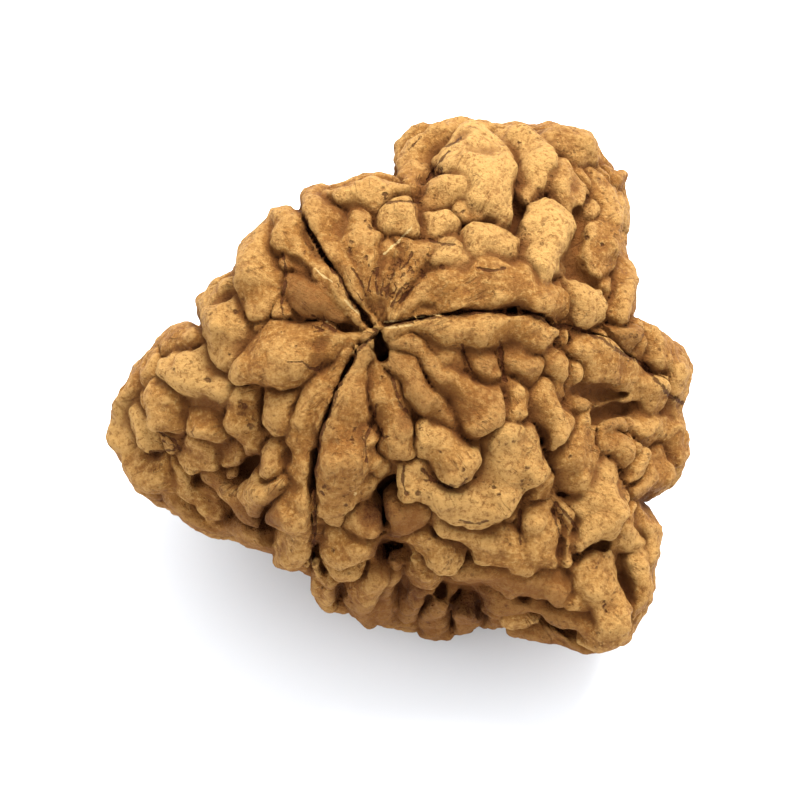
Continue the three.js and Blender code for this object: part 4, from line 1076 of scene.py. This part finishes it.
def keep_largest(mesh):
    """Takes away the loose crumbs that the cuts leave."""
    form = bmesh.new()
    form.from_mesh(mesh)
    form.verts.ensure_lookup_table()
    seen = set()
    groups = []
    for first in form.verts:
        if first in seen:
            continue
        group = [first]
        seen.add(first)
        for vertex in group:
            for edge in vertex.link_edges:
                other = edge.other_vert(vertex)
                if other not in seen:
                    seen.add(other)
                    group.append(other)
        groups.append(group)
    groups.sort(key=len)
    for group in groups[:-1]:
        bmesh.ops.delete(form, geom=group, context="VERTS")
    form.to_mesh(mesh)
    form.free()


def roughen(mesh):
    """Small lumps and wrinkles along the skin."""
    corners = corners_of(mesh)
    normals = np.empty_like(corners).ravel()
    mesh.vertices.foreach_get("normal", normals)
    normals = normals.reshape(-1, 3)
    push = np.zeros(len(corners))
    for size, height in SKIN_LUMPS:
        push += height * np.array([noise.noise(Vector(corner / size)) for corner in corners])
    corners += normals * push[:, None]
    mesh.vertices.foreach_set("co", corners.astype(np.float32).ravel())
    mesh.update()


def thinned(mesh):
    """The mesh with fewer faces where it is smooth."""
    triangles = sum(len(face.vertices) - 2 for face in mesh.polygons)
    if triangles <= MOST_TRIANGLES:
        return mesh
    carrier = bpy.data.objects.new("carrier", mesh)
    bpy.context.scene.collection.objects.link(carrier)
    fewer = carrier.modifiers.new("fewer", "DECIMATE")
    fewer.ratio = MOST_TRIANGLES / triangles
    shown = carrier.evaluated_get(bpy.context.evaluated_depsgraph_get())
    result = bpy.data.meshes.new_from_object(shown)
    bpy.data.objects.remove(carrier)
    return result


def store(mesh, name, values):
    layer = mesh.attributes.new(name, "FLOAT", "POINT")
    layer.data.foreach_set("value", np.asarray(values, np.float32))


def store_vector(mesh, name, values):
    layer = mesh.attributes.new(name, "FLOAT_VECTOR", "POINT")
    layer.data.foreach_set("vector", np.asarray(values, np.float32).ravel())


def mark_list():
    """All marks as (tone, half width, picture positions)."""
    seams = [(-1, SEAM_MARK, path) for path in SUTURES.values()]
    return seams + MARKS + [(-1, radius, [(px, py)]) for px, py, radius in PITS]


def store_marks(mesh, corners):
    """For each corner: how far it is beside and beyond the nearest mark, in half widths, and its tone."""
    marks = mark_list()
    laid = lay_out([[(px, py, half) for px, py in path] for _, half, path in marks])
    nearest = np.full(len(corners), MARK_REACH)
    result = np.tile([0, MARK_BEYOND, 0.0], (len(corners), 1))
    for (tone, _, _), path in zip(marks, laid):
        spots = [(place(px, py, depth), half / PIXELS_PER_MM) for px, py, half, depth in path]
        for (a, half), (b, _) in pairs_of(spots):
            sight = (a - EYE) / np.linalg.norm(a - EYE)
            along = b - a - ((b - a) @ sight) * sight
            length = np.linalg.norm(along)
            along = along / length if length > 0 else RIGHT
            side = np.cross(along, sight)
            rel = corners - a
            beside = rel @ side
            forward = rel @ along
            behind = np.abs(rel @ sight) - MARK_DEPTH
            beyond = np.maximum(np.maximum(-forward, forward - length), np.maximum(behind, 0))
            if length == 0:
                beyond = np.maximum(np.abs(forward), behind)
            distance = np.hypot(beside, beyond)
            nearer = distance < nearest
            nearest = np.where(nearer, distance, nearest)
            entry = np.stack([beside / half, beyond / half, np.full(len(corners), float(tone))], 1)
            result = np.where(nearer[:, None], entry, result)
    store_vector(mesh, "mark", result)


def store_tones_and_painted_light(mesh, corners, tones):
    """The tones of the ridges, shifted over the patches of painted shade, which redden and darken the
    recesses and the lower tier, and of painted light, which make some lobes paler.
    """
    px, py, _ = picture_position(corners)
    depth = -(corners @ TOWARD)
    middles = depths_on_body([tint[:2] for tint in SHADE_AND_LIGHT_PATCHES])
    for (tint_px, tint_py, radius, shift), middle in zip(SHADE_AND_LIGHT_PATCHES, middles):
        away = np.hypot(px - tint_px, py - tint_py) / radius
        near = np.clip(1 - away ** 2, 0, 1) * (np.abs(depth - middle) < TINT_DEPTH)
        tones = tones + shift * near
    store(mesh, "tone", tones)


def store_grain(mesh, corners):
    """Coordinates that run fast around the string hole and slowly along the ridges that leave it."""
    axis = place(*UPPER_MOUTH) - MIDDLE
    axis = axis / np.linalg.norm(axis)
    rel = corners - MIDDLE
    height = rel @ axis
    across = rel - height[:, None] * axis
    spread = np.linalg.norm(across, axis=1)
    across = across / np.maximum(spread, TINY)[:, None]
    side = np.cross(axis, RIGHT)
    side = side / np.linalg.norm(side)
    latitude = np.arctan2(height, spread)
    grain = np.stack([GRAIN_AROUND * across @ np.cross(side, axis), GRAIN_AROUND * across @ side,
                      GRAIN_ALONG * latitude], 1)
    store_vector(mesh, "grain", grain)


def make_bead():
    """The bead's mesh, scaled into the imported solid's box, and the scale and origin used."""
    grid, field, tones, closeness = grow_field()
    mesh = mesh_from("bead_skin", *surface_of(grid, field))
    keep_largest(mesh)
    roughen(mesh)
    mesh = thinned(mesh)
    corners = corners_of(mesh).astype(float)
    corners[:, 2] = np.maximum(corners[:, 2], FLAT_SPOT[2])
    full = (field < 0).astype(np.float32)
    for name, reach in BLUR_REACHES.items():
        store(mesh, name, grid.sample(blurred(full, round(reach / VOXEL)), corners))
    store(mesh, "valley", grid.sample(closeness, corners))
    store_grain(mesh, corners)
    store_tones_and_painted_light(mesh, corners, grid.sample(blurred(tones, 1), corners))
    store_marks(mesh, corners)
    low, high = corners.min(0), corners.max(0)
    box_low, box_high = (np.array(corner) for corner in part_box(NODE))
    scale = float(np.min((box_high - box_low) / (high - low)))
    origin = (low + high) / 2
    origin[2] = low[2]
    target = (box_low + box_high) / 2
    target[2] = box_low[2]
    corners = (corners - origin) * scale + target
    mesh.vertices.foreach_set("co", corners.astype(np.float32).ravel())
    for face in mesh.polygons:
        face.use_smooth = True
    mesh.update()
    bead = bpy.data.objects.new("bead_stone", mesh)
    bpy.context.scene.collection.objects.link(bead)

    def to_frame(point):
        return Vector((np.asarray(point, float) - origin) * scale + target)

    return bead, to_frame


def make_camera(to_frame):
    """The camera that sees the bead as the picture does."""
    data = bpy.data.cameras.new("camera")
    data.sensor_width = SENSOR_WIDTH
    data.lens = data.sensor_width * FOCAL_LENGTH_PX / PICTURE_SIZE
    data.clip_start = CAMERA_NEAREST
    camera = bpy.data.objects.new("camera", data)
    bpy.context.scene.collection.objects.link(camera)
    axes = Matrix((RIGHT, UP, TOWARD)).transposed().to_4x4()
    axes.translation = to_frame(EYE)
    camera.matrix_world = axes
    bpy.context.scene.camera = camera


class Nodes:
    """Short calls for building a material's node tree."""

    def __init__(self, material):
        material.use_nodes = True
        self.tree = material.node_tree
        self.shader = self.tree.nodes["Principled BSDF"]
        coordinates = self.tree.nodes.new("ShaderNodeTexCoord")
        self.place = coordinates.outputs["Object"]

    def link(self, source, socket):
        if isinstance(source, (int, float)):
            socket.default_value = source
        elif isinstance(source, tuple):
            socket.default_value = (*source, 1)
        else:
            self.tree.links.new(source, socket)

    def attribute(self, name, output="Fac"):
        node = self.tree.nodes.new("ShaderNodeAttribute")
        node.attribute_name = name
        return node.outputs[output]

    def noise(self, size, detail=3.0, roughness=0.55, along=None):
        node = self.tree.nodes.new("ShaderNodeTexNoise")
        node.inputs["Scale"].default_value = 1 / size
        node.inputs["Detail"].default_value = detail
        node.inputs["Roughness"].default_value = roughness
        self.link(along or self.place, node.inputs["Vector"])
        return node.outputs["Fac"]

    def cells(self, size):
        node = self.tree.nodes.new("ShaderNodeTexVoronoi")
        node.inputs["Scale"].default_value = 1 / size
        self.link(self.place, node.inputs["Vector"])
        return node.outputs["Distance"]

    def lines(self, size, width, along):
        """Thin winding lines, 1 in their middle and 0 beyond their width."""
        wave = self.math("SUBTRACT", self.noise(size, 3.0, 0.6, along), 0.5)
        return self.ramp(self.math("ABSOLUTE", wave), width, 0.0)

    def ramp(self, value, low, high, to_low=0.0, to_high=1.0):
        """value from low to high becomes to_low to to_high, smoothly."""
        node = self.tree.nodes.new("ShaderNodeMapRange")
        node.interpolation_type = "SMOOTHSTEP"
        self.link(value, node.inputs["Value"])
        for name, number in (("From Min", low), ("From Max", high), ("To Min", to_low), ("To Max", to_high)):
            node.inputs[name].default_value = number
        return node.outputs["Result"]

    def math(self, operation, a, b=0.0):
        node = self.tree.nodes.new("ShaderNodeMath")
        node.operation = operation
        self.link(a, node.inputs[0])
        self.link(b, node.inputs[1])
        return node.outputs["Value"]

    def mix(self, amount, a, b):
        node = self.tree.nodes.new("ShaderNodeMix")
        node.data_type = "RGBA"
        self.link(amount, node.inputs["Factor"])
        self.link(a, node.inputs[MIX_FROM])
        self.link(b, node.inputs[MIX_TO])
        return node.outputs[MIX_RESULT]

    def strongest(self, parts):
        """The largest of several values, each multiplied by its weight."""
        result = 0.0
        for value, weight in parts:
            result = self.math("MAXIMUM", result, self.math("MULTIPLY", value, weight))
        return result

    def marks(self):
        """Strengths of the dark and of the pale marks."""
        offset = self.attribute("mark", "Vector")
        parts = self.tree.nodes.new("ShaderNodeSeparateXYZ")
        self.link(offset, parts.inputs["Vector"])
        beside, beyond, tone = (parts.outputs[name] for name in "XYZ")
        distance = self.math("SQRT", self.math("ADD", self.math("MULTIPLY", beside, beside),
                                               self.math("MULTIPLY", beyond, beyond)))
        waver = self.ramp(self.noise(WAVER_SIZE), 0.35, 0.7, WAVER_LEAST, WAVER_MOST)
        strength = self.ramp(self.math("ADD", distance, waver), FADE_START, FADE_END)
        dark = self.math("MULTIPLY", strength, self.ramp(tone, 0.0, -0.5))
        pale = self.math("MULTIPLY", strength, self.ramp(tone, 0.0, 1.0))
        return dark, pale

    def bump(self, height, distance):
        node = self.tree.nodes.new("ShaderNodeBump")
        node.inputs["Distance"].default_value = distance
        self.link(height, node.inputs["Height"])
        return node.outputs["Normal"]


def stone_material():
    """Dry, woody seed stone: tan ridges, small pits and a fibrous grain, with red-brown to near-black
    painted shade in the creases, hollows and lower tier, and painted light on the open crests.
    """
    material = bpy.data.materials.new("seed_stone")
    nodes = Nodes(material)
    tone, crease, hollow_shade, shade, valley = (nodes.attribute(name) for name in SKIN_VALUES)
    along = nodes.attribute("grain", "Vector")
    cloud = nodes.noise(0.0022, 4)
    fine = nodes.noise(0.0002, 8, 0.75)
    grit = nodes.noise(0.00045, 4, 0.7)
    grain = nodes.noise(1, 5, 0.7, along)

    # Each layer: what drives it, where that starts and ends, how strong it gets, its colour
    layers = [
        # Tone above zero: the skin's own paler ridges, and painted light from the pale patches
        (tone, 0.0, 1.0, 1.0, PALE),
        (cloud, 0.52, 0.75, 0.4, PALE),
        (cloud, 0.46, 0.28, 0.5, RED),
        (grain, 0.5, 0.3, 0.55, RED),
        (grain, 0.55, 0.75, 0.5, PALE),
        # Painted light: the open crests, where the blurred solid is thin, made paler
        (crease, 0.46, 0.34, 0.5, PALE),
        (fine, 0.5, 0.62, 0.65, PALE),
        # Tone below zero: the skin's own redder ridges, and painted shade on the bottom tier and from the
        # dark patches
        (tone, 0.0, -1.0, 0.75, RED),
        (fine, 0.49, 0.38, 0.7, RED),
        (grit, 0.46, 0.34, 0.5, RED),
        # Painted shade: creases, hollows and broad recesses reddened
        (crease, 0.5, 0.66, 0.75, RED),
        (hollow_shade, 0.48, 0.66, 0.7, RED),
        (shade, 0.5, 0.75, 0.8, RED),
    ]
    colour = TAN
    for driver, start, end, strength, layer_colour in layers:
        colour = nodes.mix(nodes.ramp(driver, start, end, 0.0, strength), colour, layer_colour)

    patches = nodes.ramp(nodes.noise(0.0016, 2), 0.5, 0.6)
    cracks = nodes.math("MULTIPLY", nodes.ramp(nodes.noise(0.00022, 3, 0.6), 0.6, 0.68), patches)
    stroke_patches = nodes.ramp(nodes.noise(0.0012, 2), 0.54, 0.64)
    strokes = nodes.math("MULTIPLY", nodes.lines(3.0, 0.02, along), stroke_patches)
    pits = nodes.math("MULTIPLY", nodes.ramp(nodes.cells(0.0004), 0.2, 0.08), nodes.ramp(cloud, 0.48, 0.6))
    flaws = nodes.strongest([(cracks, 1.0), (strokes, 0.7), (pits, 1.0)])
    dark_line, pale_line = nodes.marks()
    marks = nodes.strongest([(flaws, 0.6), (dark_line, 1.0)])
    # Painted shade: valley floors between ridges, creases, hollows, broad recesses and the darkest shade
    # patches go toward the darkest brown, together with the real cracks, pits and seam lines
    valley_shade = nodes.math("MULTIPLY", nodes.ramp(valley, 0.3, 1.0), nodes.ramp(crease, 0.44, 0.56))
    recess_shadow = nodes.math("MULTIPLY", nodes.ramp(tone, -1.0, -2.2), nodes.ramp(fine, 0.35, 0.6, 0.95, 0.5))
    dark = nodes.strongest([
        (nodes.ramp(crease, 0.62, 0.9), 0.7),
        (nodes.ramp(hollow_shade, 0.6, 0.9), 0.6),
        (nodes.ramp(shade, 0.6, 0.85), 0.6),
        (valley_shade, 0.3),
        (recess_shadow, 1.0),
        (marks, 0.8),
    ])
    colour = nodes.mix(dark, colour, SHADE_AND_MARK_BROWN)
    colour = nodes.mix(nodes.math("MULTIPLY", pale_line, 0.8), colour, FIBRE)

    height = nodes.math("SUBTRACT", nodes.math("MULTIPLY", grain, 0.7), marks)
    height = nodes.math("ADD", height, nodes.math("MULTIPLY", fine, 1.3))
    height = nodes.math("ADD", height, nodes.math("MULTIPLY", grit, 2.0))
    nodes.link(colour, nodes.shader.inputs["Base Color"])
    nodes.link(nodes.bump(height, BUMP_HEIGHT), nodes.shader.inputs["Normal"])
    nodes.shader.inputs["Roughness"].default_value = STONE_ROUGHNESS
    nodes.shader.inputs["Specular IOR Level"].default_value = STONE_SPECULAR
    return material


def floor_material():
    material = bpy.data.materials.new("pale_floor")
    nodes = Nodes(material)
    nodes.shader.inputs["Base Color"].default_value = FLOOR_COLOUR
    nodes.shader.inputs["Roughness"].default_value = FLOOR_ROUGHNESS
    nodes.shader.inputs["Specular IOR Level"].default_value = 0.0
    return material


def make_floor():
    half = FLOOR_SIZE / 2
    corners = np.array([(-half, -half, 0), (half, -half, 0), (half, half, 0), (-half, half, 0)])
    floor = bpy.data.objects.new("floor", mesh_from("floor", corners, np.array([[0, 1, 2, 3]])))
    floor.data.materials.append(floor_material())
    bpy.context.scene.collection.objects.link(floor)


def make_lamp():
    """A square soft light that looks down at the bead."""
    data = bpy.data.lights.new("key", "AREA")
    data.size = KEY_SIZE
    data.energy = KEY_POWER
    lamp = bpy.data.objects.new("key", data)
    right, up, toward = KEY_SIDE
    direction = Vector(right * RIGHT + up * UP + toward * TOWARD).normalized()
    lamp.location = direction * KEY_DISTANCE
    lamp.rotation_euler = direction.to_track_quat("Z", "Y").to_euler()
    bpy.context.scene.collection.objects.link(lamp)


def make_sky():
    """Light from all round, stronger from one side."""
    world = bpy.data.worlds.new("studio")
    world.use_nodes = True
    tree = world.node_tree
    direction = tree.nodes.new("ShaderNodeTexCoord").outputs["Generated"]
    facing = tree.nodes.new("ShaderNodeVectorMath")
    facing.operation = "DOT_PRODUCT"
    facing.inputs[1].default_value = LIGHT_SIDE
    tree.links.new(direction, facing.inputs[0])
    level = tree.nodes.new("ShaderNodeMapRange")
    for name, number in (("From Min", -1), ("From Max", 1), ("To Min", SKY_LOW), ("To Max", SKY_HIGH)):
        level.inputs[name].default_value = number
    tree.links.new(facing.outputs["Value"], level.inputs["Value"])
    tree.links.new(level.outputs["Result"], tree.nodes["Background"].inputs["Strength"])
    tree.nodes["Background"].inputs["Color"].default_value = SKY_COLOUR
    scene = bpy.context.scene
    scene.world = world
    scene.view_settings.view_transform = "Standard"
    scene.view_settings.look = "None"


bead, to_frame = make_bead()
make_camera(to_frame)
bead.data.materials.append(stone_material())
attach(bead, BODY_NAME)
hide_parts(NODE)
make_floor()
make_lamp()
make_sky()
